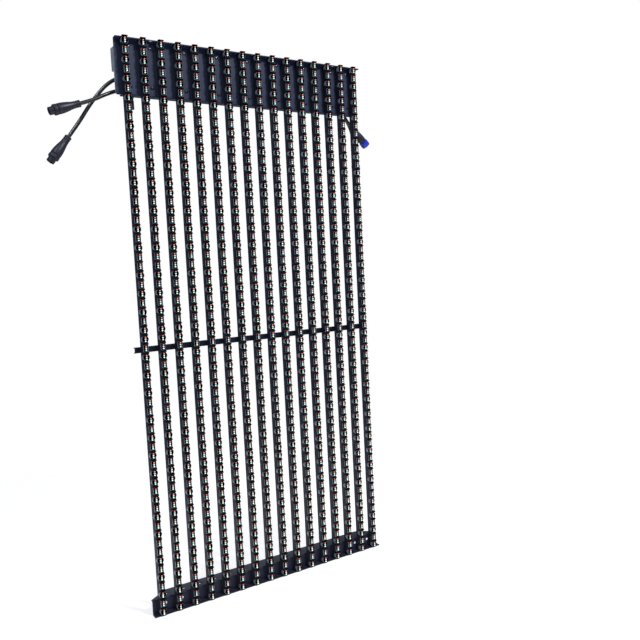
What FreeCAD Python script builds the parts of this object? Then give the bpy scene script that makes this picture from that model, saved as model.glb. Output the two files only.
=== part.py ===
import FreeCAD
import Part
import math
import os

# An open-grille display panel: sixteen narrow upright bars of three-colour
# lamps, held at the top by a folded sheet with an electronics box behind it,
# tied half way by a cross channel and held at the foot by a folded bracket.
# Four short cables leave the box, two on each side.
# Frame: +Z up, the lamps face -Y, +X to the right seen from the front.
# The origin is the middle of the two hanging holes, on the upper face of the
# top flange. All sizes are in millimetres.

V = FreeCAD.Vector

# Helpers of the modelling: how far a cutting tool runs past a face, the size
# of a tool that trims everything beyond a plane, and how near two points are
# when they count as one
OVERCUT = 1.0
TRIM = 30.0
TOUCH = 0.01

# Lamp field
COLUMNS = 16
COLUMN_PITCH = 31.25
ROW_PITCH = 15.625
ROWS = 64
FIELD_WIDTH = COLUMNS * COLUMN_PITCH
FIELD_HEIGHT = ROWS * ROW_PITCH
# Openings down one 16-row module: R is a round well, S is a square window.
WINDOW_ORDER = "RSRSRSRSSRSRSRSR"

# Sheet parts
SHEET = 1.5
SHEET_BEND = 1.0
SIDE_CLEARANCE = 0.25
SHEET_WIDTH = FIELD_WIDTH - 2 * SIDE_CLEARANCE
TOP_FLANGE_DROP = 1.5
FIELD_TOP = TOP_FLANGE_DROP
FIELD_BOTTOM = FIELD_TOP - FIELD_HEIGHT
FLANGE_EDGE_TO_HOLES = 4.0
HOLES_TO_PLATE = 7.0
FLANGE_FRONT_Y = -FLANGE_EDGE_TO_HOLES
PLATE_FRONT_Y = HOLES_TO_PLATE
PLATE_BACK_Y = PLATE_FRONT_Y + SHEET
PLATE_DROP = 93.0
RETURN_DEPTH = 12.0
RETURN_END_NOTCH = 9.0
HANGING_HOLE_SPACING = 12 * COLUMN_PITCH
HANGING_HOLE_RADIUS = 3.3

# Foot bracket
BRACKET_HEIGHT = 27.0
LIP_DEPTH = 28.5
LIP_END_DEPTH = 4.0
LIP_CHAMFER_RUN = 35.0
LIP_HOLE_FROM_WEB = 12.2
LIP_HOLE_RADIUS = 2.5
LIP_SLOT_LENGTH = 11.0
LIP_SLOT_WIDTH = 4.5
WEB_HOLE_RADIUS = 2.5
WEB_HOLE_ABOVE_FOOT = 16.5
WEB_HOLE_OUTER_X = 225.0
WEB_HOLE_INNER_X = 193.5

# Lamp bars
BAR_WIDTH = 9.4
BAR_WALL = 0.8
BAR_END_GAP = 0.2
BAR_END_WALL = 1.6
MASK_FRONT_Y = -5.8
MASK_THICKNESS = 1.5
MASK_END_GAP = 0.3
BACK_LIP_WIDTH = 10.4
BACK_LIP_DEPTH = 1.4
BACK_CORNER_NOTCH = SHEET_BEND
SIDE_RIDGE_PROUD = 0.35
SIDE_RIDGE_FRONT = 4.6
SIDE_RIDGE_DEPTH = 1.2
BOSS_RADIUS = 6.2
BOSS_PROUD = 0.6
BOSS_DEPTH = 6.4
WELL_RADIUS = 5.15
SQUARE_WINDOW_WIDTH = 7.8
SQUARE_WINDOW_HEIGHT = 10.8
VISOR_WIDTH = 9.8
VISOR_REACH = 4.0
VISOR_BELOW = 5.6
VISOR_ABOVE = 9.9
VISOR_TIP = 7.0
VISOR_TIP_THICKNESS = 0.7

# Potted boards with their lamps
BOARD_CLEARANCE = 0.1
BOARD_SET_BACK = 3.3
LAMP_REACH = 6.3
LAMP_SIZE = 2.9
LAMP_PITCH = 3.35
BOARD_BACK_INSET = 0.6

# Cross channel
CROSS_CENTRE_Z = -525.5
CROSS_HEIGHT = 10.0
CROSS_DEPTH = 6.0
CROSS_SHEET = 1.2

# Electronics box: wide above, stepped in below so that the cable glands sit
# in its two lower corners
BOX_SHEET = 1.5
BOX_TOP = -6.5
BOX_STEP = -45.0
BOX_BOTTOM = -85.5
BOX_END_INSET = 7.75
BOX_CORNER_WIDTH = 46.0
BOX_UPPER_HALF = SHEET_WIDTH / 2.0 - BOX_END_INSET
BOX_LOWER_HALF = BOX_UPPER_HALF - BOX_CORNER_WIDTH
BOX_DEPTH = 38.0
SEAL_THICKNESS = 0.8
SEAL_WIDTH = 5.2
BOX_RIM_WIDTH = 7.0
LID_SHEET = 1.5
BOX_BACK_Y = PLATE_BACK_Y + BOX_DEPTH
LID_FRONT_Y = BOX_BACK_Y + SEAL_THICKNESS
LID_BACK_Y = LID_FRONT_Y + LID_SHEET

# Fasteners
SCREW_RADIUS = 1.5
SCREW_CLEARANCE = 0.1
SCREW_HEAD_RADIUS = 2.75
SCREW_HEAD_HEIGHT = 1.6
BAR_SCREW_LENGTH = 9.0
CROSS_SCREW_BITE = 4.5
BAR_SCREW_Y = 1.6
RIVET_RADIUS = 1.6
RIVET_CLEARANCE = 0.1
RIVET_HEAD_RADIUS = 3.0
RIVET_HEAD_HEIGHT = 1.1
RIVET_TAIL_RADIUS = 2.3
RIVET_TAIL_LENGTH = 2.4
RIVET_UPPER_Z = -12.5
RIVET_LOWER_Z = -78.0
RIVET_PITCH = 2 * COLUMN_PITCH
RIVET_COUNT_EACH_SIDE = 3
RIVET_END_INSET = 24.75
RIVET_END_X = SHEET_WIDTH / 2.0 - RIVET_END_INSET
LID_SCREW_PITCH = 88.0
LID_SCREWS_EACH_SIDE = 2

# Inside the box
SOCKET_WIDTH = 6.4
SOCKET_HEIGHT = 12.0
SOCKET_CLEARANCE = 0.3
SOCKET_CENTRE_Z = -25.0
SOCKET_DEPTH = 9.0
BOARD_THICKNESS = 1.6
DISTRIBUTION_END_GAP = 1.5
DISTRIBUTION_HEIGHT = 22.0
SUPPLY_LENGTH = 198.0
SUPPLY_HEIGHT = 58.0
SUPPLY_DEPTH = 25.0
SUPPLY_CENTRE_X = -62.0
SUPPLY_CENTRE_Z = -46.0
CARD_LENGTH = 118.0
CARD_HEIGHT = 60.0
CARD_CENTRE_X = 112.0
CARD_STANDOFF = 6.0
CARD_STANDOFF_RADIUS = 2.5
CARD_HOLE_INSET = 4.0

# End angles behind the plate, below the box's shoulders
ANGLE_SHEET = 1.5
ANGLE_LEG = 30.0
ANGLE_RETURN = 6.0
ANGLE_TOP_GAP = 0.4
ANGLE_BOTTOM_GAP = 1.2

# Cables and their fittings
CABLE_RADIUS = 3.25
GLAND_RADIUS = 6.7
GLAND_DOME_RADIUS = 5.6
GLAND_HEX_LENGTH = 5.0
GLAND_DOME_LENGTH = 6.0
GLAND_LIP = 1.0
GLAND_SIDES = 6
GLAND_THREAD_RADIUS = 4.9
GLAND_THREAD_LENGTH = 6.0
GLAND_CLEARANCE = 0.1
GLAND_REACH = GLAND_HEX_LENGTH + GLAND_DOME_LENGTH
GLAND_TIP_X = BOX_LOWER_HALF + GLAND_REACH

# Left plugs, measured along the plug from the cable end
PLUG_COLLAR_RADIUS = 5.9
PLUG_COLLAR_LENGTH = 11.0
PLUG_RIB_DEPTH = 0.8
PLUG_RIB_GAP = 1.5
PLUG_RIB_COUNT = 3
PLUG_BODY_RADIUS = 8.9
PLUG_TAPER_LENGTH = 22.0
PLUG_BODY_LENGTH = 5.0
PLUG_GROOVE_LENGTH = 1.6
PLUG_GROOVE_RADIUS = 7.4
PLUG_RING_RADIUS = 9.2
PLUG_RING_LENGTH = 5.4
PLUG_NOSE_RADIUS = 6.7
PLUG_NOSE_LENGTH = 8.0
PLUG_BORE_RADIUS = 5.2
PLUG_BORE_DEPTH = 3.6

# Right sockets and the coupling nuts that turn on them
CABLE_SOCKET_BODY_RADIUS = 7.8
CABLE_SOCKET_TAPER_LENGTH = 18.0
CABLE_SOCKET_BODY_LENGTH = 9.0
NUT_CLEARANCE = 0.3
NUT_OUTER_RADIUS = 9.0
NUT_LENGTH = 12.0
NUT_SEAT_RADIUS = 5.6
NUT_BORE_RADIUS = 7.6
NUT_BACK_WALL = 2.4
CABLE_SOCKET_STOP_RADIUS = 7.0
CABLE_SOCKET_STOP_LENGTH = 2.0
CABLE_SOCKET_NOSE_RADIUS = 6.2
CABLE_SOCKET_NOSE_SHORT = 3.4
NUT_GRIP_COUNT = 12
NUT_GRIP_RADIUS = 1.0
NUT_GRIP_DEPTH = 0.45

# Buffer that hangs under the plate's lower fold
BUFFER_X = -222.9
BUFFER_RADIUS = 4.0
BUFFER_LENGTH = 22.0
BUFFER_NECK_RADIUS = 2.0
BUFFER_CLEARANCE = 0.1
BUFFER_HEAD_RADIUS = 3.6
BUFFER_HEAD_HEIGHT = 1.2

# Glands, placed from the box's lower edge, its step, the plate and its back
LOWER_GLAND_RISE = 6.75
UPPER_GLAND_DROP = 10.0
FRONT_GLAND_FROM_PLATE = 19.5
REAR_GLAND_FROM_BACK = 6.6
LOWER_GLAND_Z = BOX_BOTTOM + LOWER_GLAND_RISE
UPPER_GLAND_Z = BOX_STEP - UPPER_GLAND_DROP
FRONT_GLAND_Y = PLATE_BACK_Y + FRONT_GLAND_FROM_PLATE
REAR_GLAND_Y = BOX_BACK_Y - REAR_GLAND_FROM_BACK

# Cable routes, chosen by hand from the photograph. Each leaves its gland straight.
# An arc between two runs takes this share of the shorter one.
ARC_SHARE = 0.45
LEFT_UPPER_ROUTE = [
    (-GLAND_TIP_X, FRONT_GLAND_Y, UPPER_GLAND_Z),
    (-225.0, FRONT_GLAND_Y, UPPER_GLAND_Z),
    (-242.5, 28.8, -62.0),
    (-258.5, 30.5, -72.5),
    (-273.0, 33.0, -88.5),
    (-290.0, 34.0, -110.5),
    (-309.7, 34.3, -140.9),
    (-326.8, 34.3, -163.1),
]
LEFT_LOWER_ROUTE = [
    (-GLAND_TIP_X, FRONT_GLAND_Y, LOWER_GLAND_Z),
    (-226.0, FRONT_GLAND_Y, LOWER_GLAND_Z),
    (-247.0, 27.0, -83.6),
    (-266.5, 25.0, -92.3),
    (-287.1, 24.2, -102.9),
    (-307.0, 24.0, -109.5),
]
RIGHT_FRONT_ROUTE = [
    (GLAND_TIP_X, FRONT_GLAND_Y, LOWER_GLAND_Z),
    (216.0, FRONT_GLAND_Y, LOWER_GLAND_Z),
    (225.0, 28.0, -84.2),
    (232.5, 28.0, -92.0),
    (239.8, 28.0, -102.4),
    (249.7, 28.0, -112.3),
]
RIGHT_REAR_ROUTE = [
    (GLAND_TIP_X, REAR_GLAND_Y, LOWER_GLAND_Z),
    (219.0, REAR_GLAND_Y, LOWER_GLAND_Z),
    (234.0, 40.4, -85.5),
    (246.0, 40.6, -96.0),
    (255.0, 40.9, -112.0),
    (260.5, 41.2, -129.5),
    (262.0, 41.4, -148.0),
]

PARTS = {}


def add(name, shape):
    """Keep a finished piece under its node name."""
    PARTS[name] = shape


def block(x0, x1, y0, y1, z0, z1):
    """Box between two corners."""
    return Part.makeBox(x1 - x0, y1 - y0, z1 - z0, V(x0, y0, z0))


def rod(start, axis, radius, length):
    """Cylinder from a point along a direction."""
    return Part.makeCylinder(radius, length, V(*start), V(*axis))


def join(shapes):
    """Union of a list of solids as one clean solid."""
    result = shapes[0]
    if len(shapes) > 1:
        result = result.multiFuse(shapes[1:])
    return result.removeSplitter()


def carve(shape, tools):
    """Shape with every tool cut away in one step."""
    return shape.cut(Part.makeCompound(tools))


def carve_in_turn(shape, tools):
    """Shape with tools that cross each other cut away one after another."""
    for tool in tools:
        shape = shape.cut(tool)
    return shape


def prism(points, direction):
    """Closed outline pushed along a direction."""
    corners = [V(*p) for p in points]
    face = Part.Face(Part.makePolygon(corners + corners[:1]))
    return face.extrude(V(*direction))


def round_folds(shape, folds):
    """Round the edges along X at each (y, z, radius) of a folded sheet."""
    for y, z, radius in folds:
        edges = []
        for edge in shape.Edges:
            a = edge.Vertexes[0].Point
            b = edge.Vertexes[-1].Point
            long_edge = abs(a.x - b.x) > SHEET_WIDTH / 2.0
            at_fold = max(math.hypot(p.y - y, p.z - z) for p in (a, b)) < TOUCH
            if long_edge and at_fold:
                edges.append(edge)
        shape = shape.makeFillet(radius, edges)
    return shape


def column_x(column):
    """Middle of a bar, counted from 0 at the left."""
    return (column - (COLUMNS - 1) / 2.0) * COLUMN_PITCH


def gap_centres():
    """Middles of the gaps between neighbouring bars."""
    return [column_x(c) + COLUMN_PITCH / 2.0 for c in range(COLUMNS - 1)]


def row_z(row):
    """Middle of a lamp cell, counted from 0 at the top."""
    return FIELD_TOP - (row + 0.5) * ROW_PITCH


def rivet_points():
    """Places of the rivets through the plate, as (x, z)."""
    points = []
    for z in (RIVET_UPPER_Z, RIVET_LOWER_Z):
        for step in range(-RIVET_COUNT_EACH_SIDE, RIVET_COUNT_EACH_SIDE + 1):
            points.append((step * RIVET_PITCH, z))
        points.append((-RIVET_END_X, z))
        points.append((RIVET_END_X, z))
    return points


def socket_box(x, clearance, y0, y1):
    """Block of one bar socket, grown by a clearance."""
    half_w = SOCKET_WIDTH / 2.0 + clearance
    z0 = SOCKET_CENTRE_Z - SOCKET_HEIGHT / 2.0 - clearance
    z1 = SOCKET_CENTRE_Z + SOCKET_HEIGHT / 2.0 + clearance
    return block(x - half_w, x + half_w, y0, y1, z0, z1)


# Lamp bar housing: one moulding with a well for each lamp group, a hood over
# each well and an open back
BODY_TOP = -SHEET - BAR_END_GAP
BODY_BOTTOM = FIELD_BOTTOM + SHEET + BAR_END_GAP
MASK_TOP = FIELD_TOP - MASK_END_GAP
MASK_BOTTOM = FIELD_BOTTOM + MASK_END_GAP
MASK_BACK_Y = MASK_FRONT_Y + MASK_THICKNESS
BOARD_FRONT_Y = MASK_FRONT_Y + BOARD_SET_BACK


def hood(row):
    """Wedge over one lamp group, clipped at the top of the bar."""
    z = row_z(row)
    top = min(z + VISOR_ABOVE, MASK_TOP)
    tip_y = MASK_FRONT_Y - VISOR_REACH
    tip_z = z + VISOR_TIP
    outline = [
        (-VISOR_WIDTH / 2.0, MASK_FRONT_Y, z + VISOR_BELOW),
        (-VISOR_WIDTH / 2.0, tip_y, tip_z - VISOR_TIP_THICKNESS / 2.0),
        (-VISOR_WIDTH / 2.0, tip_y, tip_z + VISOR_TIP_THICKNESS / 2.0),
        (-VISOR_WIDTH / 2.0, MASK_FRONT_Y, top),
        (-VISOR_WIDTH / 2.0, MASK_BACK_Y, top),
        (-VISOR_WIDTH / 2.0, MASK_BACK_Y, z + VISOR_BELOW),
    ]
    return prism(outline, (VISOR_WIDTH, 0, 0))


def bar_housing():
    """Housing of one bar, centred on x = 0."""
    half = BAR_WIDTH / 2.0
    lip = BACK_LIP_WIDTH / 2.0
    ridge = half + SIDE_RIDGE_PROUD
    ridge_y = MASK_FRONT_Y + SIDE_RIDGE_FRONT
    solids = [
        block(-half, half, MASK_BACK_Y, PLATE_FRONT_Y, BODY_BOTTOM, BODY_TOP),
        block(-half, half, MASK_FRONT_Y, MASK_BACK_Y, MASK_BOTTOM, MASK_TOP),
        block(-lip, lip, PLATE_FRONT_Y - BACK_LIP_DEPTH, PLATE_FRONT_Y, BODY_BOTTOM, BODY_TOP),
        block(-ridge, ridge, ridge_y, ridge_y + SIDE_RIDGE_DEPTH, BODY_BOTTOM, BODY_TOP),
    ]
    inner = half - BAR_WALL
    floor = BODY_BOTTOM + BAR_END_WALL
    ceiling = BODY_TOP - BAR_END_WALL
    back = PLATE_FRONT_Y + OVERCUT
    cuts = [block(-inner, inner, BOARD_FRONT_Y, back, floor, ceiling)]
    for row in range(ROWS):
        z = row_z(row)
        solids.append(hood(row))
        if WINDOW_ORDER[row % len(WINDOW_ORDER)] == "R":
            front = MASK_FRONT_Y - BOSS_PROUD
            boss = rod((0, front, z), (0, 1, 0), BOSS_RADIUS, BOSS_DEPTH)
            solids.append(boss)
            depth = BOARD_FRONT_Y - front + OVERCUT
            cuts.append(rod((0, front - OVERCUT, z), (0, 1, 0), WELL_RADIUS, depth))
        else:
            w = SQUARE_WINDOW_WIDTH / 2.0
            h = SQUARE_WINDOW_HEIGHT / 2.0
            cuts.append(block(-w, w, MASK_FRONT_Y - OVERCUT, BOARD_FRONT_Y, z - h, z + h))
    cuts.append(block(-TRIM, TRIM, MASK_BACK_Y, back, BODY_TOP, BODY_TOP + TRIM))
    cuts.append(block(-TRIM, TRIM, MASK_BACK_Y, back, BODY_BOTTOM - TRIM, BODY_BOTTOM))
    corner = PLATE_FRONT_Y - BACK_CORNER_NOTCH
    cuts.append(block(-TRIM, TRIM, corner, back, BODY_TOP - BACK_CORNER_NOTCH, BODY_TOP))
    cuts.append(block(-TRIM, TRIM, corner, back, BODY_BOTTOM, BODY_BOTTOM + BACK_CORNER_NOTCH))
    cuts.append(block(-TRIM, TRIM, -TRIM, TRIM, MASK_TOP, MASK_TOP + TRIM))
    cuts.append(block(-TRIM, TRIM, -TRIM, TRIM, MASK_BOTTOM - TRIM, MASK_BOTTOM))
    hole = SCREW_RADIUS + SCREW_CLEARANCE
    depth = BAR_END_WALL + 2 * OVERCUT
    cuts.append(rod((0, BAR_SCREW_Y, BODY_TOP + OVERCUT), (0, 0, -1), hole, depth))
    cuts.append(rod((0, BAR_SCREW_Y, BODY_BOTTOM - OVERCUT), (0, 0, 1), hole, depth))
    return carve(join(solids), cuts)


def lamp_board():
    """Potted board of one bar with three lamps in each cell."""
    half = BAR_WIDTH / 2.0 - BAR_WALL - BOARD_CLEARANCE
    z0 = BODY_BOTTOM + BAR_END_WALL + BOARD_CLEARANCE
    z1 = BODY_TOP - BAR_END_WALL - BOARD_CLEARANCE
    back = PLATE_FRONT_Y - BOARD_BACK_INSET
    front = BOARD_FRONT_Y + BOARD_CLEARANCE
    lamp_front = MASK_FRONT_Y + BOARD_SET_BACK - LAMP_REACH
    solids = [block(-half, half, front, back, z0, z1)]
    for row in range(ROWS):
        for lamp in (-1, 0, 1):
            z = row_z(row) + lamp * LAMP_PITCH
            size = LAMP_SIZE / 2.0
            solids.append(block(-size, size, lamp_front, front, z - size, z + size))
    hole = SCREW_RADIUS + SCREW_CLEARANCE
    bite = BAR_SCREW_LENGTH
    cuts = [
        rod((0, BAR_SCREW_Y, z1 + OVERCUT), (0, 0, -1), hole, bite),
        rod((0, BAR_SCREW_Y, z0 - OVERCUT), (0, 0, 1), hole, bite),
        rod((0, back + OVERCUT, CROSS_CENTRE_Z), (0, -1, 0), hole, CROSS_SCREW_BITE + OVERCUT),
    ]
    return carve(join(solids), cuts)


HOUSING = bar_housing()
LAMP_BOARD = lamp_board()
for column in range(COLUMNS):
    shift = V(column_x(column), 0, 0)
    housing_copy = HOUSING.copy()
    housing_copy.translate(shift)
    add("bar_%02d_housing" % (column + 1), housing_copy)
    board_copy = LAMP_BOARD.copy()
    board_copy.translate(shift)
    add("bar_%02d_lamp_board" % (column + 1), board_copy)


def countersunk_hole(x, z, direction):
    """Through hole with a cone for a flush screw head in a flange."""
    shank = SCREW_RADIUS + SCREW_CLEARANCE
    head = SCREW_HEAD_RADIUS + SCREW_CLEARANCE
    return Part.makeCone(head, shank, SHEET, V(x, BAR_SCREW_Y, z), V(0, 0, direction))


# Top panel: a sheet folded forward at the top and backward at the bottom
def top_panel():
    """Folded top panel with its holes."""
    half = SHEET_WIDTH / 2.0
    return_back = PLATE_BACK_Y + RETURN_DEPTH
    outline = [
        (-half, FLANGE_FRONT_Y, 0),
        (-half, PLATE_BACK_Y, 0),
        (-half, PLATE_BACK_Y, -PLATE_DROP + SHEET),
        (-half, return_back, -PLATE_DROP + SHEET),
        (-half, return_back, -PLATE_DROP),
        (-half, PLATE_FRONT_Y, -PLATE_DROP),
        (-half, PLATE_FRONT_Y, -SHEET),
        (-half, FLANGE_FRONT_Y, -SHEET),
    ]
    sheet = prism(outline, (SHEET_WIDTH, 0, 0))
    folds = [
        (PLATE_BACK_Y, 0, SHEET_BEND + SHEET),
        (PLATE_FRONT_Y, -SHEET, SHEET_BEND),
        (PLATE_FRONT_Y, -PLATE_DROP, SHEET_BEND + SHEET),
        (PLATE_BACK_Y, -PLATE_DROP + SHEET, SHEET_BEND),
    ]
    sheet = round_folds(sheet, folds)
    cuts = []
    notch_front = PLATE_BACK_Y + SHEET_BEND
    notch_low = -PLATE_DROP - OVERCUT
    notch_high = -PLATE_DROP + SHEET + OVERCUT
    for side in (-1, 1):
        x = side * HANGING_HOLE_SPACING / 2.0
        cuts.append(rod((x, 0, OVERCUT), (0, 0, -1), HANGING_HOLE_RADIUS, SHEET + 2 * OVERCUT))
        ends = sorted([side * (half - RETURN_END_NOTCH), side * (half + OVERCUT)])
        cuts.append(block(*ends, notch_front, return_back + OVERCUT, notch_low, notch_high))
    for column in range(COLUMNS):
        x = column_x(column)
        cuts.append(countersunk_hole(x, 0, -1))
        cuts.append(socket_box(x, SOCKET_CLEARANCE, PLATE_FRONT_Y - OVERCUT, PLATE_BACK_Y + OVERCUT))
    bore = RIVET_RADIUS + RIVET_CLEARANCE
    depth = SHEET + 2 * OVERCUT
    for x, z in rivet_points():
        cuts.append(rod((x, PLATE_FRONT_Y - OVERCUT, z), (0, 1, 0), bore, depth))
    buffer_y = (PLATE_BACK_Y + return_back) / 2.0
    neck = BUFFER_NECK_RADIUS + BUFFER_CLEARANCE
    cuts.append(rod((BUFFER_X, buffer_y, -PLATE_DROP - OVERCUT), (0, 0, 1), neck, depth))
    return carve(sheet, cuts)


add("top_panel", top_panel())


# Foot bracket: a sheet folded forward at the bottom and backward at the top
WEB_TOP = FIELD_BOTTOM + BRACKET_HEIGHT
LIP_HOLE_Y = PLATE_BACK_Y + LIP_HOLE_FROM_WEB


def bottom_bracket():
    """Folded foot bracket with a clipped lip, slots and holes."""
    half = SHEET_WIDTH / 2.0
    lip_back = PLATE_BACK_Y + LIP_DEPTH
    outline = [
        (-half, FLANGE_FRONT_Y, FIELD_BOTTOM),
        (-half, PLATE_BACK_Y, FIELD_BOTTOM),
        (-half, PLATE_BACK_Y, WEB_TOP - SHEET),
        (-half, lip_back, WEB_TOP - SHEET),
        (-half, lip_back, WEB_TOP),
        (-half, PLATE_FRONT_Y, WEB_TOP),
        (-half, PLATE_FRONT_Y, FIELD_BOTTOM + SHEET),
        (-half, FLANGE_FRONT_Y, FIELD_BOTTOM + SHEET),
    ]
    sheet = prism(outline, (SHEET_WIDTH, 0, 0))
    folds = [
        (PLATE_BACK_Y, FIELD_BOTTOM, SHEET_BEND + SHEET),
        (PLATE_FRONT_Y, FIELD_BOTTOM + SHEET, SHEET_BEND),
        (PLATE_FRONT_Y, WEB_TOP, SHEET_BEND + SHEET),
        (PLATE_BACK_Y, WEB_TOP - SHEET, SHEET_BEND),
    ]
    sheet = round_folds(sheet, folds)
    cuts = []
    depth = SHEET + 2 * OVERCUT
    below = WEB_TOP - SHEET - OVERCUT
    lip_end = PLATE_BACK_Y + LIP_END_DEPTH
    for side in (-1, 1):
        clip = [
            (side * half, lip_end, below),
            (side * (half - LIP_CHAMFER_RUN), lip_back, below),
            (side * (half - LIP_CHAMFER_RUN), lip_back + OVERCUT, below),
            (side * (half + OVERCUT), lip_back + OVERCUT, below),
            (side * (half + OVERCUT), lip_end, below),
        ]
        cuts.append(prism(clip, (0, 0, depth)))
        for x in (WEB_HOLE_OUTER_X, WEB_HOLE_INNER_X):
            z = FIELD_BOTTOM + WEB_HOLE_ABOVE_FOOT
            cuts.append(rod((side * x, PLATE_FRONT_Y - OVERCUT, z), (0, 1, 0), WEB_HOLE_RADIUS, depth))
    centres = gap_centres()
    for index, x in enumerate(centres):
        if index in (0, len(centres) - 1):
            cuts.append(rod((x, LIP_HOLE_Y, below), (0, 0, 1), LIP_HOLE_RADIUS, depth))
        else:
            r = LIP_SLOT_WIDTH / 2.0
            run = LIP_SLOT_LENGTH / 2.0 - r
            cuts.append(block(x - run, x + run, LIP_HOLE_Y - r, LIP_HOLE_Y + r, below, below + depth))
            for end in (-run, run):
                cuts.append(rod((x + end, LIP_HOLE_Y, below), (0, 0, 1), r, depth))
    for column in range(COLUMNS):
        cuts.append(countersunk_hole(column_x(column), FIELD_BOTTOM, 1))
    return carve_in_turn(sheet, cuts)


add("bottom_bracket", bottom_bracket())


# Cross channel behind the bars, half way down
def crossbar():
    """Folded channel with its web against the bars."""
    half = SHEET_WIDTH / 2.0
    z0 = CROSS_CENTRE_Z - CROSS_HEIGHT / 2.0
    z1 = CROSS_CENTRE_Z + CROSS_HEIGHT / 2.0
    y0 = PLATE_FRONT_Y
    y1 = PLATE_FRONT_Y + CROSS_DEPTH
    channel = block(-half, half, y0, y1, z0, z1)
    channel = round_folds(channel, [(y0, z0, CROSS_SHEET), (y0, z1, CROSS_SHEET)])
    end = half + OVERCUT
    cuts = [block(-end, end, y0 + CROSS_SHEET, y1 + OVERCUT, z0 + CROSS_SHEET, z1 - CROSS_SHEET)]
    hole = SCREW_RADIUS + SCREW_CLEARANCE
    depth = CROSS_SHEET + 2 * OVERCUT
    for column in range(COLUMNS):
        cuts.append(rod((column_x(column), y0 - OVERCUT, CROSS_CENTRE_Z), (0, 1, 0), hole, depth))
    return carve_in_turn(channel, cuts)


add("crossbar", crossbar())


# Electronics box, its seal and its lid
def box_outline(inset, y):
    """Stepped outline of the box, moved inward by an inset."""
    top = BOX_TOP - inset
    step = BOX_STEP + inset
    bottom = BOX_BOTTOM + inset
    wide = BOX_UPPER_HALF - inset
    narrow = BOX_LOWER_HALF - inset
    return [
        (-wide, y, top),
        (wide, y, top),
        (wide, y, step),
        (narrow, y, step),
        (narrow, y, bottom),
        (-narrow, y, bottom),
        (-narrow, y, step),
        (-wide, y, step),
    ]


def box_solid(inset, y0, y1):
    """Stepped block between two depths."""
    return prism(box_outline(inset, y0), (0, y1 - y0, 0))


def lid_screw_points():
    """Places of the lid screws along the box's upper and lower rims."""
    inset = BOX_SHEET + (BOX_RIM_WIDTH - BOX_SHEET) / 2.0
    points = []
    for step in range(-LID_SCREWS_EACH_SIDE, LID_SCREWS_EACH_SIDE + 1):
        points.append((step * LID_SCREW_PITCH, BOX_TOP - inset))
        points.append((step * LID_SCREW_PITCH, BOX_BOTTOM + inset))
    points.append((-BOX_UPPER_HALF + inset, (BOX_TOP + BOX_STEP) / 2.0))
    points.append((BOX_UPPER_HALF - inset, (BOX_TOP + BOX_STEP) / 2.0))
    return points


def gland_places():
    """Centres and outward directions of the four glands."""
    return [
        (-BOX_LOWER_HALF, FRONT_GLAND_Y, UPPER_GLAND_Z, -1),
        (-BOX_LOWER_HALF, FRONT_GLAND_Y, LOWER_GLAND_Z, -1),
        (BOX_LOWER_HALF, FRONT_GLAND_Y, LOWER_GLAND_Z, 1),
        (BOX_LOWER_HALF, REAR_GLAND_Y, LOWER_GLAND_Z, 1),
    ]


def rear_box():
    """Folded box with a rim for the lid, open to the back."""
    body = box_solid(0, PLATE_BACK_Y, BOX_BACK_Y)
    cuts = [box_solid(BOX_SHEET, PLATE_BACK_Y + BOX_SHEET, BOX_BACK_Y - BOX_SHEET)]
    cuts.append(box_solid(BOX_RIM_WIDTH, BOX_BACK_Y - BOX_SHEET - OVERCUT, BOX_BACK_Y + OVERCUT))
    depth = BOX_SHEET + 2 * OVERCUT
    front = PLATE_BACK_Y - OVERCUT
    for column in range(COLUMNS):
        cuts.append(socket_box(column_x(column), SOCKET_CLEARANCE, front, front + depth))
    for x, z in rivet_points():
        cuts.append(rod((x, front, z), (0, 1, 0), RIVET_RADIUS + RIVET_CLEARANCE, depth))
    for x, y, z, side in gland_places():
        start = (x - side * (BOX_SHEET + OVERCUT), y, z)
        cuts.append(rod(start, (side, 0, 0), GLAND_THREAD_RADIUS + GLAND_CLEARANCE, depth))
    hole = SCREW_RADIUS + SCREW_CLEARANCE
    for x, z in lid_screw_points():
        cuts.append(rod((x, BOX_BACK_Y - BOX_SHEET - OVERCUT, z), (0, 1, 0), hole, depth))
    return carve(body, cuts)


add("rear_box", rear_box())


def lid_seal():
    """Flat ring of foam between the rim and the lid."""
    outer = box_solid(BOX_SHEET, BOX_BACK_Y, LID_FRONT_Y)
    cuts = [box_solid(BOX_SHEET + SEAL_WIDTH, BOX_BACK_Y - OVERCUT, LID_FRONT_Y + OVERCUT)]
    hole = SCREW_RADIUS + SCREW_CLEARANCE
    depth = SEAL_THICKNESS + 2 * OVERCUT
    for x, z in lid_screw_points():
        cuts.append(rod((x, BOX_BACK_Y - OVERCUT, z), (0, 1, 0), hole, depth))
    return carve(outer, cuts)


add("lid_seal", lid_seal())


def rear_lid():
    """Flat lid with holes for its screws."""
    plate = box_solid(0, LID_FRONT_Y, LID_BACK_Y)
    hole = SCREW_RADIUS + SCREW_CLEARANCE
    depth = LID_SHEET + 2 * OVERCUT
    front = LID_FRONT_Y - OVERCUT
    return carve(plate, [rod((x, front, z), (0, 1, 0), hole, depth) for x, z in lid_screw_points()])


add("rear_lid", rear_lid())


def pan_screw(start, axis, length):
    """Pan-head screw: the head sits behind the start, the shank runs along the axis."""
    back = V(*start) - V(*axis) * SCREW_HEAD_HEIGHT
    head = Part.makeCylinder(SCREW_HEAD_RADIUS, SCREW_HEAD_HEIGHT, back, V(*axis))
    return head.fuse(rod(start, axis, SCREW_RADIUS, length)).removeSplitter()


def flush_screw(x, z, direction):
    """Flush screw from a flange's outer face into a bar's end."""
    axis = (0, 0, direction)
    head = Part.makeCone(SCREW_HEAD_RADIUS, SCREW_RADIUS, SHEET, V(x, BAR_SCREW_Y, z), V(*axis))
    shank = rod((x, BAR_SCREW_Y, z + direction * SHEET), axis, SCREW_RADIUS, BAR_SCREW_LENGTH)
    return head.fuse(shank).removeSplitter()


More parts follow.
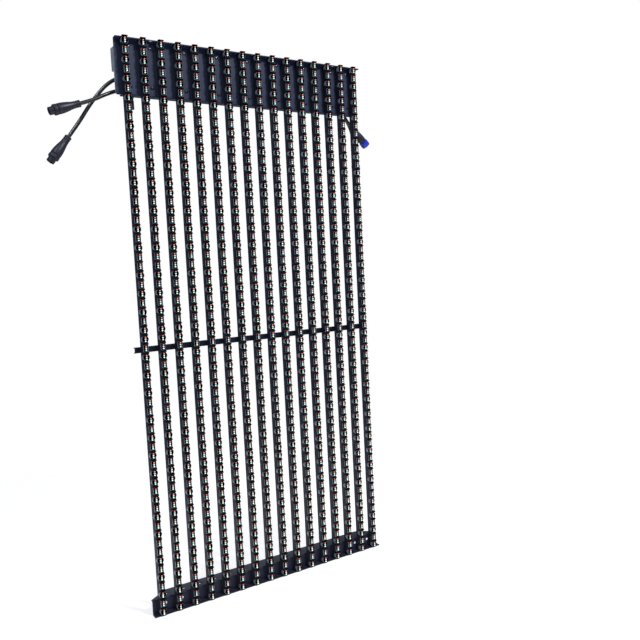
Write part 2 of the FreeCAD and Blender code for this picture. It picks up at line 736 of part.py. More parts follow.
def fastener_groups():
    """Every group of like fasteners."""
    ends = []
    pan_heads = []
    for column in range(COLUMNS):
        x = column_x(column)
        ends.append(flush_screw(x, 0, -1))
        ends.append(flush_screw(x, FIELD_BOTTOM, 1))
        start = (x, PLATE_FRONT_Y + CROSS_SHEET, CROSS_CENTRE_Z)
        length = CROSS_SHEET + BOARD_BACK_INSET + CROSS_SCREW_BITE
        pan_heads.append(pan_screw(start, (0, -1, 0), length))
    for x, z in lid_screw_points():
        length = LID_SHEET + SEAL_THICKNESS + BOX_SHEET
        pan_heads.append(pan_screw((x, LID_BACK_Y, z), (0, -1, 0), length))
    add("bar_end_screws", Part.makeCompound(ends))
    add("pan_head_screws", Part.makeCompound(pan_heads))
    rivets = []
    for x, z in rivet_points():
        grip = SHEET + BOX_SHEET
        front = PLATE_FRONT_Y - RIVET_HEAD_HEIGHT
        head = rod((x, front, z), (0, 1, 0), RIVET_HEAD_RADIUS, RIVET_HEAD_HEIGHT)
        shank = rod((x, PLATE_FRONT_Y, z), (0, 1, 0), RIVET_RADIUS, grip)
        tail = rod((x, PLATE_FRONT_Y + grip, z), (0, 1, 0), RIVET_TAIL_RADIUS, RIVET_TAIL_LENGTH)
        rivets.append(join([head, shank, tail]))
    add("panel_rivets", Part.makeCompound(rivets))


fastener_groups()


# Inside the box
def distribution():
    """Bar sockets through the plate and the long board that they stand on."""
    sockets = [
        socket_box(column_x(c), 0, PLATE_FRONT_Y, PLATE_FRONT_Y + SOCKET_DEPTH)
        for c in range(COLUMNS)
    ]
    add("bar_sockets", Part.makeCompound(sockets))
    y0 = PLATE_FRONT_Y + SOCKET_DEPTH
    half_h = DISTRIBUTION_HEIGHT / 2.0
    half_w = BOX_UPPER_HALF - BOX_SHEET - DISTRIBUTION_END_GAP
    board = block(
        -half_w,
        half_w,
        y0,
        y0 + BOARD_THICKNESS,
        SOCKET_CENTRE_Z - half_h,
        SOCKET_CENTRE_Z + half_h,
    )
    add("distribution_board", board)


distribution()


def power_supply():
    """Flat power supply on the inside of the lid."""
    x0 = SUPPLY_CENTRE_X - SUPPLY_LENGTH / 2.0
    x1 = SUPPLY_CENTRE_X + SUPPLY_LENGTH / 2.0
    z0 = SUPPLY_CENTRE_Z - SUPPLY_HEIGHT / 2.0
    z1 = SUPPLY_CENTRE_Z + SUPPLY_HEIGHT / 2.0
    case = block(x0, x1, LID_FRONT_Y - SUPPLY_DEPTH, LID_FRONT_Y, z0, z1)
    return case


add("power_supply", power_supply())


def receiving_card():
    """Control card on four spacers inside the lid."""
    x0 = CARD_CENTRE_X - CARD_LENGTH / 2.0
    x1 = CARD_CENTRE_X + CARD_LENGTH / 2.0
    z0 = SUPPLY_CENTRE_Z - CARD_HEIGHT / 2.0
    z1 = SUPPLY_CENTRE_Z + CARD_HEIGHT / 2.0
    y1 = LID_FRONT_Y - CARD_STANDOFF
    add("receiving_card", block(x0, x1, y1 - BOARD_THICKNESS, y1, z0, z1))
    spacers = []
    for x in (x0 + CARD_HOLE_INSET, x1 - CARD_HOLE_INSET):
        for z in (z0 + CARD_HOLE_INSET, z1 - CARD_HOLE_INSET):
            spacers.append(rod((x, y1, z), (0, 1, 0), CARD_STANDOFF_RADIUS, CARD_STANDOFF))
    add("card_spacers", Part.makeCompound(spacers))


receiving_card()


# End angles
def end_angle(side):
    """Small angle riveted behind the plate below the box's shoulder."""
    half = SHEET_WIDTH / 2.0
    z1 = BOX_STEP - ANGLE_TOP_GAP
    z0 = -PLATE_DROP + SHEET + ANGLE_BOTTOM_GAP
    y0 = PLATE_BACK_Y
    leg = block(half - ANGLE_LEG, half, y0, y0 + ANGLE_SHEET, z0, z1)
    fin = block(half - ANGLE_SHEET, half, y0, y0 + ANGLE_RETURN, z0, z1)
    angle = join([leg, fin])
    bore = RIVET_RADIUS + RIVET_CLEARANCE
    depth = ANGLE_SHEET + 2 * OVERCUT
    angle = angle.cut(rod((RIVET_END_X, PLATE_BACK_Y - OVERCUT, RIVET_LOWER_Z), (0, 1, 0), bore, depth))
    if side < 0:
        angle = angle.mirror(V(0, 0, 0), V(1, 0, 0))
    return angle


add("left_end_angle", end_angle(-1))
add("right_end_angle", end_angle(1))


# Buffer
def rubber_buffer():
    """Soft stop pressed through the plate's lower fold."""
    y = PLATE_BACK_Y + RETURN_DEPTH / 2.0
    z = -PLATE_DROP
    body = rod((BUFFER_X, y, z), (0, 0, -1), BUFFER_RADIUS, BUFFER_LENGTH)
    neck = rod((BUFFER_X, y, z), (0, 0, 1), BUFFER_NECK_RADIUS, SHEET)
    head = rod((BUFFER_X, y, z + SHEET), (0, 0, 1), BUFFER_HEAD_RADIUS, BUFFER_HEAD_HEIGHT)
    return join([body, neck, head])


add("rubber_buffer", rubber_buffer())


# Cables
def cable_path(points):
    """Straight runs joined by tangent arcs, and the radius of each arc."""
    pts = [V(*p) for p in points]
    edges = []
    radii = []
    last = pts[0]
    for before, here, after in zip(pts, pts[1:], pts[2:]):
        a = before - here
        b = after - here
        run = min(a.Length, b.Length)
        a.normalize()
        b.normalize()
        half_turn = (math.pi - a.getAngle(b)) / 2.0
        trim = ARC_SHARE * run
        radius = trim / math.tan(half_turn)
        radii.append(radius)
        start = here + a * trim
        end = here + b * trim
        bisector = a + b
        bisector.normalize()
        centre = here + bisector * (radius / math.cos(half_turn))
        middle = centre - bisector * radius
        edges.append(Part.LineSegment(last, start).toShape())
        edges.append(Part.Arc(start, middle, end).toShape())
        last = end
    edges.append(Part.LineSegment(last, pts[-1]).toShape())
    return Part.Wire(edges), radii


def cable(name, points):
    """Round cable along a route; prints its smallest radius and length."""
    wire, radii = cable_path(points)
    start = wire.Edges[0]
    direction = start.tangentAt(start.FirstParameter)
    ring = Part.Wire([Part.makeCircle(CABLE_RADIUS, V(*points[0]), direction)])
    tube = wire.makePipeShell([ring], True, False)
    share = tube.Volume / (math.pi * CABLE_RADIUS ** 2 * wire.Length)
    print(name, "length %.1f" % wire.Length, "volume share %.4f" % share)
    print("    radii", [round(radius, 1) for radius in radii])
    add(name, tube)


cable("left_upper_cable", LEFT_UPPER_ROUTE)
cable("left_lower_cable", LEFT_LOWER_ROUTE)
cable("right_front_cable", RIGHT_FRONT_ROUTE)
cable("right_rear_cable", RIGHT_REAR_ROUTE)


def hexagon(start, axis, radius, length):
    """Hexagonal block along a direction, measured across its corners."""
    direction = V(*axis)
    side = V(0, 1, 0)
    up = direction.cross(side)
    corners = []
    for step in range(GLAND_SIDES):
        angle = 2 * math.pi * (step + 0.5) / GLAND_SIDES
        corner = side * (radius * math.cos(angle)) + up * (radius * math.sin(angle))
        corners.append(V(*start) + corner)
    face = Part.Face(Part.makePolygon(corners + corners[:1]))
    return face.extrude(direction * length)


def gland(x, y, z, side):
    """Cable gland: thread through the wall, hexagon and dome outside."""
    axis = (side, 0, 0)
    hexagon_part = hexagon((x, y, z), axis, GLAND_RADIUS, GLAND_HEX_LENGTH)
    dome_start = V(x + side * GLAND_HEX_LENGTH, y, z)
    mouth = CABLE_RADIUS + GLAND_LIP
    dome = Part.makeCone(GLAND_DOME_RADIUS, mouth, GLAND_DOME_LENGTH, dome_start, V(*axis))
    thread = rod((x, y, z), (-side, 0, 0), GLAND_THREAD_RADIUS, GLAND_THREAD_LENGTH)
    return join([hexagon_part, dome, thread])


add("cable_glands", Part.makeCompound([gland(*place) for place in gland_places()]))


def lathe(start, direction, outline):
    """Turned solid: outline of (distance, radius) pairs along a direction."""
    points = [V(r, 0, s) for s, r in outline]
    face = Part.Face(Part.makePolygon(points + points[:1]))
    solid = face.revolve(V(0, 0, 0), V(0, 0, 1), 360)
    solid.Placement = FreeCAD.Placement(start, FreeCAD.Rotation(V(0, 0, 1), direction))
    return solid


def collar_outline():
    """Stepped collar with ribs for the cable end of a plug or socket."""
    points = [(0, 0), (0, PLUG_COLLAR_RADIUS)]
    pitch = PLUG_COLLAR_LENGTH / PLUG_RIB_COUNT
    for rib in range(1, PLUG_RIB_COUNT):
        s = rib * pitch
        points += [
            (s - PLUG_RIB_GAP / 2.0, PLUG_COLLAR_RADIUS),
            (s - PLUG_RIB_GAP / 2.0, PLUG_COLLAR_RADIUS - PLUG_RIB_DEPTH),
            (s + PLUG_RIB_GAP / 2.0, PLUG_COLLAR_RADIUS - PLUG_RIB_DEPTH),
            (s + PLUG_RIB_GAP / 2.0, PLUG_COLLAR_RADIUS),
        ]
    points.append((PLUG_COLLAR_LENGTH, PLUG_COLLAR_RADIUS))
    return points


def end_of(route):
    """Last point of a route and the direction of its last run."""
    last = V(*route[-1])
    direction = last - V(*route[-2])
    direction.normalize()
    return last, direction


def plug(route):
    """Moulded plug with a grip collar, a taper, a fixed ring and a hollow nose."""
    start, direction = end_of(route)
    s = PLUG_COLLAR_LENGTH
    outline = collar_outline()
    s += PLUG_TAPER_LENGTH
    outline.append((s, PLUG_BODY_RADIUS))
    s += PLUG_BODY_LENGTH
    outline.append((s, PLUG_BODY_RADIUS))
    outline.append((s, PLUG_GROOVE_RADIUS))
    s += PLUG_GROOVE_LENGTH
    outline.append((s, PLUG_GROOVE_RADIUS))
    outline.append((s, PLUG_RING_RADIUS))
    s += PLUG_RING_LENGTH
    outline.append((s, PLUG_RING_RADIUS))
    outline.append((s, PLUG_NOSE_RADIUS))
    s += PLUG_NOSE_LENGTH
    outline.append((s, PLUG_NOSE_RADIUS))
    outline.append((s, PLUG_BORE_RADIUS))
    outline.append((s - PLUG_BORE_DEPTH, PLUG_BORE_RADIUS))
    outline.append((s - PLUG_BORE_DEPTH, 0))
    return lathe(start, direction, outline)


add("left_upper_plug", plug(LEFT_UPPER_ROUTE))
add("left_lower_plug", plug(LEFT_LOWER_ROUTE))


CABLE_SOCKET_BODY_END = PLUG_COLLAR_LENGTH + CABLE_SOCKET_TAPER_LENGTH + CABLE_SOCKET_BODY_LENGTH
NUT_START = CABLE_SOCKET_BODY_END + NUT_CLEARANCE


def cable_socket(route):
    """Moulded socket: body, a neck and a stop that keep the nut on, and a nose."""
    start, direction = end_of(route)
    neck_end = NUT_START + NUT_BACK_WALL + NUT_CLEARANCE
    neck_radius = NUT_SEAT_RADIUS - NUT_CLEARANCE
    stop_end = neck_end + CABLE_SOCKET_STOP_LENGTH
    nose_end = NUT_START + NUT_LENGTH - CABLE_SOCKET_NOSE_SHORT
    outline = collar_outline()
    outline += [
        (PLUG_COLLAR_LENGTH + CABLE_SOCKET_TAPER_LENGTH, CABLE_SOCKET_BODY_RADIUS),
        (CABLE_SOCKET_BODY_END, CABLE_SOCKET_BODY_RADIUS),
        (CABLE_SOCKET_BODY_END, neck_radius),
        (neck_end, neck_radius),
        (neck_end, CABLE_SOCKET_STOP_RADIUS),
        (stop_end, CABLE_SOCKET_STOP_RADIUS),
        (stop_end, CABLE_SOCKET_NOSE_RADIUS),
        (nose_end, CABLE_SOCKET_NOSE_RADIUS),
        (nose_end, 0),
    ]
    return lathe(start, direction, outline)


def coupling_nut(route):
    """Ribbed ring that turns freely on its socket."""
    start, direction = end_of(route)
    back = NUT_START
    front = NUT_START + NUT_LENGTH
    outline = [
        (back, NUT_SEAT_RADIUS),
        (back, NUT_OUTER_RADIUS),
        (front, NUT_OUTER_RADIUS),
        (front, NUT_BORE_RADIUS),
        (back + NUT_BACK_WALL, NUT_BORE_RADIUS),
        (back + NUT_BACK_WALL, NUT_SEAT_RADIUS),
    ]
    ring = lathe(start, direction, outline)
    turn = FreeCAD.Rotation(V(0, 0, 1), direction)
    grooves = []
    for step in range(NUT_GRIP_COUNT):
        angle = 2 * math.pi * step / NUT_GRIP_COUNT
        out = NUT_OUTER_RADIUS + NUT_GRIP_RADIUS - NUT_GRIP_DEPTH
        place = V(out * math.cos(angle), out * math.sin(angle), back - OVERCUT)
        centre = start + turn.multVec(place)
        depth = NUT_LENGTH + 2 * OVERCUT
        grooves.append(Part.makeCylinder(NUT_GRIP_RADIUS, depth, centre, direction))
    return carve(ring, grooves)


add("right_front_socket", cable_socket(RIGHT_FRONT_ROUTE))
add("right_rear_socket", cable_socket(RIGHT_REAR_ROUTE))
add("right_front_nut", coupling_nut(RIGHT_FRONT_ROUTE))
add("right_rear_nut", coupling_nut(RIGHT_REAR_ROUTE))

os.makedirs("parts", exist_ok=True)
for name, shape in PARTS.items():
    if not shape.isValid():
        print("not valid:", name)
    shape.exportStep("parts/%s.step" % name)
print(len(PARTS), "nodes")
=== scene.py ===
"""An open-grille display panel of sixteen upright lamp bars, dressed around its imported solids.

The solids give the places and the outer sizes. Bars, lamps, plugs, sockets, nuts, glands, rivets and
screws are modelled again as finer surfaces in their solids' places, and the folded sheets, the
box and its lid keep their solids and get their finish here.
"""

import logging
from dataclasses import dataclass, replace
from enum import Enum

import bpy
import numpy as np
from mathutils import Matrix, Vector


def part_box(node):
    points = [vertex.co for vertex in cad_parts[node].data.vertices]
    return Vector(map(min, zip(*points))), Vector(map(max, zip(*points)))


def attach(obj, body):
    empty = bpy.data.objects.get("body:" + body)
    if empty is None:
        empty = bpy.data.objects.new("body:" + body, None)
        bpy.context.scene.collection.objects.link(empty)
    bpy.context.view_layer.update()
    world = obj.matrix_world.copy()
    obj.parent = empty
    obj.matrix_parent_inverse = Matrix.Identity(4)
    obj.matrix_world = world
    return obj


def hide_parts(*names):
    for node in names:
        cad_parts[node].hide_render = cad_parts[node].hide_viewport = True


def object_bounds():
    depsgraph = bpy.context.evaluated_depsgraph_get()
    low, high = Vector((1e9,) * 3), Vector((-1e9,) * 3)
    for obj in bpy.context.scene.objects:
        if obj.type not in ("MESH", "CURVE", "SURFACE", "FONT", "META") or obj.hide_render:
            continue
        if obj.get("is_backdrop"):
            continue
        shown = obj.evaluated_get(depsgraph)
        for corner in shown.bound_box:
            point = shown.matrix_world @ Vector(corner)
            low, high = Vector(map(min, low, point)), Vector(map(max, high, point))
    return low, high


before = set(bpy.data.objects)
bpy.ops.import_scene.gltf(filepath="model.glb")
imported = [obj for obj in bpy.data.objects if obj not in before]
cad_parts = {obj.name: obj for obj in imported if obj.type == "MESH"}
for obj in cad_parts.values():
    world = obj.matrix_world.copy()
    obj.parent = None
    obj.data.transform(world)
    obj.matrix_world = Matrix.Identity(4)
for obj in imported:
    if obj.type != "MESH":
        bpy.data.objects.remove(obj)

LOG = logging.getLogger("panel")
BODY = "panel"
MM = 0.001
# Points nearer to each other than this, in millimetres, become one.
WELD = 1e-4
# A rounded corner takes at most this share of the run on each side of it.
EASE_SHARE = 0.45
COLUMNS = 16
ROWS = 64
# Kinds of the cells down a bar, R for round and S for square. The order repeats.
WINDOW_ORDER = "RSRSRSRSSRSRSRSR"
# The frame's zero point and plain directions, for shapes that are turned into their places.
ORIGIN = Vector((0.0, 0.0, 0.0))
RIGHT = Vector((1.0, 0.0, 0.0))
BACK = Vector((0.0, 1.0, 0.0))
FRONT = Vector((0.0, -1.0, 0.0))
UP = Vector((0.0, 0.0, 1.0))
DOWN = Vector((0.0, 0.0, -1.0))


def span(node: str) -> tuple[np.ndarray, np.ndarray]:
    """Lowest and highest corner of a solid, in millimetres.

    Args:
        node: Name of the solid.

    Returns:
        The two corners.
    """
    low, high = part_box(node)
    return np.array(low) / MM, np.array(high) / MM


@dataclass
class Shell:
    """A closed surface in millimetres: points, faces and a finish number for each face."""

    points: np.ndarray
    quads: np.ndarray
    triangles: np.ndarray
    quad_tones: np.ndarray
    triangle_tones: np.ndarray

    def moved(self, offset: tuple[float, float, float]) -> "Shell":
        """The same surface, shifted by an offset."""
        return self.repeated(np.array([offset]))

    def repeated(self, offsets: np.ndarray) -> "Shell":
        """Copies of the surface at every offset: point k of copy i is point k plus offset i.

        Args:
            offsets: One (x, y, z) shift for each copy.

        Returns:
            All copies as one surface.
        """
        steps = np.arange(len(offsets)) * len(self.points)
        return Shell(
            (self.points[None] + offsets[:, None]).reshape(-1, 3),
            (self.quads[None] + steps[:, None, None]).reshape(-1, 4),
            (self.triangles[None] + steps[:, None, None]).reshape(-1, 3),
            np.tile(self.quad_tones, len(offsets)),
            np.tile(self.triangle_tones, len(offsets)),
        )

    def reversed(self) -> "Shell":
        """The same surface with every face turned round."""
        return replace(self, quads=self.quads[:, ::-1], triangles=self.triangles[:, ::-1])

    def mirrored_x(self) -> "Shell":
        """The surface seen in a mirror across x = 0, with its faces turned back outwards.

        Returns:
            The mirrored surface.
        """
        return replace(self, points=self.points * (-1.0, 1.0, 1.0)).reversed()

    def placed(self, start: Vector, axis: Vector, side: Vector) -> "Shell":
        """The surface with its own z turned to an axis and its own x to a side.

        Args:
            start: Where its own zero point goes.
            axis: Direction of its own z.
            side: Rough direction of its own x; it is made square to the axis.

        Returns:
            The turned and shifted surface.
        """
        w = np.array(axis, float)
        w /= np.linalg.norm(w)
        u = np.array(side, float)
        u -= w * u.dot(w)
        u /= np.linalg.norm(u)
        turn = np.column_stack([u, np.cross(w, u), w])
        return replace(self, points=self.points @ turn.T + np.array(start, float))

    def welded(self) -> "Shell":
        """The surface with equal points made one: a quad that loses a corner is a triangle.

        Returns:
            The welded surface, without the faces that closed up.
        """
        keys = np.round(self.points / WELD).astype(np.int64)
        _, first, inverse = np.unique(keys, axis=0, return_index=True, return_inverse=True)
        inverse = inverse.reshape(-1)
        quads = inverse[self.quads]
        same = quads == np.roll(quads, -1, axis=1)
        lost = same.sum(axis=1)
        crossed = (quads[:, 0] == quads[:, 2]) | (quads[:, 1] == quads[:, 3])
        whole = (lost == 0) & ~crossed
        cut = (lost == 1) & ~crossed
        triangles = np.vstack([inverse[self.triangles], quads[cut][~same[cut]].reshape(-1, 3)])
        tones = np.concatenate([self.triangle_tones, self.quad_tones[cut]])
        real = (triangles != np.roll(triangles, -1, axis=1)).all(axis=1)
        points = self.points[first]
        return Shell(points, quads[whole], triangles[real], self.quad_tones[whole], tones[real])

    def outward(self) -> "Shell":
        """The surface with its faces pointing out: its signed volume is made positive.

        Returns:
            The surface itself, or a copy with every face turned round.
        """
        corners = [self.points[self.triangles[:, k]] for k in range(3)]
        for half in ((0, 1, 2), (0, 2, 3)):
            for k, column in enumerate(half):
                corners[k] = np.vstack([corners[k], self.points[self.quads[:, column]]])
        volume = np.einsum("ij,ij->i", corners[0], np.cross(corners[1], corners[2])).sum()
        return self if volume >= 0 else self.reversed()


def together(shells: list[Shell]) -> Shell:
    """Several surfaces as one list of points and faces.

    Args:
        shells: The surfaces.

    Returns:
        One surface that holds them all.
    """
    counts = [len(shell.points) for shell in shells]
    starts = np.concatenate([[0], np.cumsum(counts)[:-1]])
    return Shell(
        np.vstack([shell.points for shell in shells]),
        np.vstack([shell.quads + start for shell, start in zip(shells, starts)]),
        np.vstack([shell.triangles + start for shell, start in zip(shells, starts)]),
        np.concatenate([shell.quad_tones for shell in shells]),
        np.concatenate([shell.triangle_tones for shell in shells]),
    )


def lofted(rings: np.ndarray, tones: np.ndarray | int = 0, wrap: bool = False) -> Shell:
    """Closed surface through rings: quad (s, p) joins points p and p + 1 of rings s and s + 1.

    Args:
        rings: Points of shape (rings, points in a ring, 3).
        tones: Finish number of each quad, of shape (rings, points), or one for all.
        wrap: Whether the last ring joins the first, as on a hoop, instead of end caps.

    Returns:
        The surface, its equal points welded and its faces outwards.
    """
    count, width, _ = rings.shape
    index = np.arange(count * width).reshape(count, width)
    after = np.roll(index, -1, axis=0) if wrap else index[1:]
    here = index if wrap else index[:-1]
    quads = np.stack([here, np.roll(here, -1, axis=1), np.roll(after, -1, axis=1), after], axis=-1)
    full = np.broadcast_to(np.asarray(tones, int), (count, width))[: len(here)]
    points = rings.reshape(-1, 3)
    triangles = np.zeros((0, 3), int)
    triangle_tones = np.zeros(0, int)
    if not wrap:
        points = np.vstack([points, rings[0].mean(axis=0), rings[-1].mean(axis=0)])
        ends = []
        for ring, centre, turned_round in ((index[0], -2, True), (index[-1], -1, False)):
            middle = np.full(width, len(points) + centre)
            pair = (np.roll(ring, -1), ring) if turned_round else (ring, np.roll(ring, -1))
            ends.append(np.column_stack([middle, *pair]))
        triangles = np.vstack(ends)
        triangle_tones = np.concatenate([full[0], full[-1]])
    shell = Shell(points, quads.reshape(-1, 4), triangles, full.reshape(-1), triangle_tones)
    return shell.welded().outward()


def prism(outline: np.ndarray, z0: float, z1: float, tone: int = 0) -> Shell:
    """An (x, y) outline carried straight from one height to another.

    Args:
        outline: Points of the outline, in order.
        z0: First height.
        z1: Second height.
        tone: Finish number of the faces.

    Returns:
        The closed surface.
    """
    rings = np.empty((2, len(outline), 3))
    rings[:, :, :2] = outline
    rings[0, :, 2] = z0
    rings[1, :, 2] = z1
    return lofted(rings, tone)


def turned(
    profile: np.ndarray, factors: np.ndarray, tones: np.ndarray | int = 0, wrap: bool = False
) -> Shell:
    """Turned shape about its own z: at angle a, point i is at radius r[i] times factor[i, a].

    Args:
        profile: Rows of (distance along the axis, radius).
        factors: Radius factors of shape (profile points or 1, segments).
        tones: Finish number of each profile point's faces, or one for all.
        wrap: Whether the profile is a closed loop clear of the axis.

    Returns:
        The closed surface.
    """
    segments = factors.shape[1]
    angles = np.arange(segments) * 2 * np.pi / segments
    radii = profile[:, 1:2] * factors
    rings = np.empty((len(profile), segments, 3))
    rings[:, :, 0] = radii * np.cos(angles)
    rings[:, :, 1] = radii * np.sin(angles)
    rings[:, :, 2] = profile[:, 0:1]
    shades = np.asarray(tones, int)
    if shades.ndim == 1:
        shades = shades[:, None]
    return lofted(rings, shades, wrap)


def plain(segments: int) -> np.ndarray:
    """Radius factors of a round section."""
    return np.ones((1, segments))


def hexagonal(segments: int) -> np.ndarray:
    """Radius factors of a hexagon: cos 30 over the cosine of the angle from the nearest flat.

    Args:
        segments: Points round the section.

    Returns:
        One factor for each point.
    """
    angles = np.arange(segments) * 2 * np.pi / segments
    from_flat = (angles + np.pi / 6) % (np.pi / 3) - np.pi / 6
    return np.cos(np.pi / 6) / np.cos(from_flat)


def fluted(segments: int, count: int, depth: float, sharpness: float = 1.0) -> np.ndarray:
    """Radius factors of a fluted section: one minus depth times a raised cosine to a power.

    Args:
        segments: Points round the section.
        count: Number of flutes.
        depth: Depth of a flute as a share of the radius.
        sharpness: Power of the cosine; more makes the flutes narrower.

    Returns:
        One factor for each point.
    """
    angles = np.arange(segments) * 2 * np.pi / segments
    wave = 0.5 + 0.5 * np.cos(count * angles)
    return 1.0 - depth * wave ** sharpness


def eased(outline: list[tuple[float, float]], size: float, steps: int = 4) -> np.ndarray:
    """An open outline with each inner corner rounded by a quadratic curve.

    The curve starts and ends at most the given size, or a share of the run, from its corner.

    Args:
        outline: Rows of (distance, radius).
        size: How far from a corner its curve starts.
        steps: Points on each curve.

    Returns:
        The finer outline.
    """
    points = np.array(outline, float)
    before = points[:-2] - points[1:-1]
    after = points[2:] - points[1:-1]
    long_before = np.linalg.norm(before, axis=1, keepdims=True)
    long_after = np.linalg.norm(after, axis=1, keepdims=True)
    start = points[1:-1] + before / long_before * np.minimum(size, EASE_SHARE * long_before)
    end = points[1:-1] + after / long_after * np.minimum(size, EASE_SHARE * long_after)
    t = np.linspace(0, 1, steps)[None, :, None]
    curve = (1 - t) ** 2 * start[:, None] + 2 * t * (1 - t) * points[1:-1, None] + t**2 * end[:, None]
    return np.vstack([points[:1], curve.reshape(-1, 2), points[-1:]])


def linear(red: float, green: float, blue: float) -> tuple[float, float, float, float]:
    """A colour given as 0 to 255 sRGB values, in the linear values that shaders take.

    Args:
        red: Red value.
        green: Green value.
        blue: Blue value.

    Returns:
        Linear red, green and blue, and an alpha of one.
    """
    values = np.array([red, green, blue]) / 255.0
    low = values / 12.92
    high = ((values + 0.055) / 1.055) ** 2.4
    return (*np.where(values <= 0.04045, low, high).tolist(), 1.0)


def preset(node: bpy.types.Node, values: dict[str | int, object]) -> None:
    """Sets inputs of a node to fixed values."""
    for name, value in values.items():
        node.inputs[name].default_value = value


def new_node(
    tree: bpy.types.NodeTree, kind: str, values: dict[str | int, object] | None = None, **options: object
) -> bpy.types.Node:
    """A new shader node with its own options and the fixed values of its inputs.

    Args:
        tree: Tree that gets the node.
        kind: Its type, without the word ShaderNode in front.
        values: Value of each input that is set.
        options: Value of each option that is set.

    Returns:
        The node.
    """
    node = tree.nodes.new("ShaderNode" + kind)
    for name, value in options.items():
        setattr(node, name, value)
    preset(node, values or {})
    return node


def wire(tree: bpy.types.NodeTree, *links: tuple[bpy.types.Node, str, bpy.types.Node, str | int]) -> None:
    """Joins sockets of a tree's nodes.

    Args:
        tree: The tree.
        links: Each one's node and output that it leaves, and node and input that it reaches.
    """
    for source, output, target, entry in links:
        tree.links.new(source.outputs[output], target.inputs[entry])


class Effect(Enum):
    """The shader effects that several finishes share."""

    DRIFT = "tone drift"
    GRAIN = "surface grain"
    DUST = "settled dust"


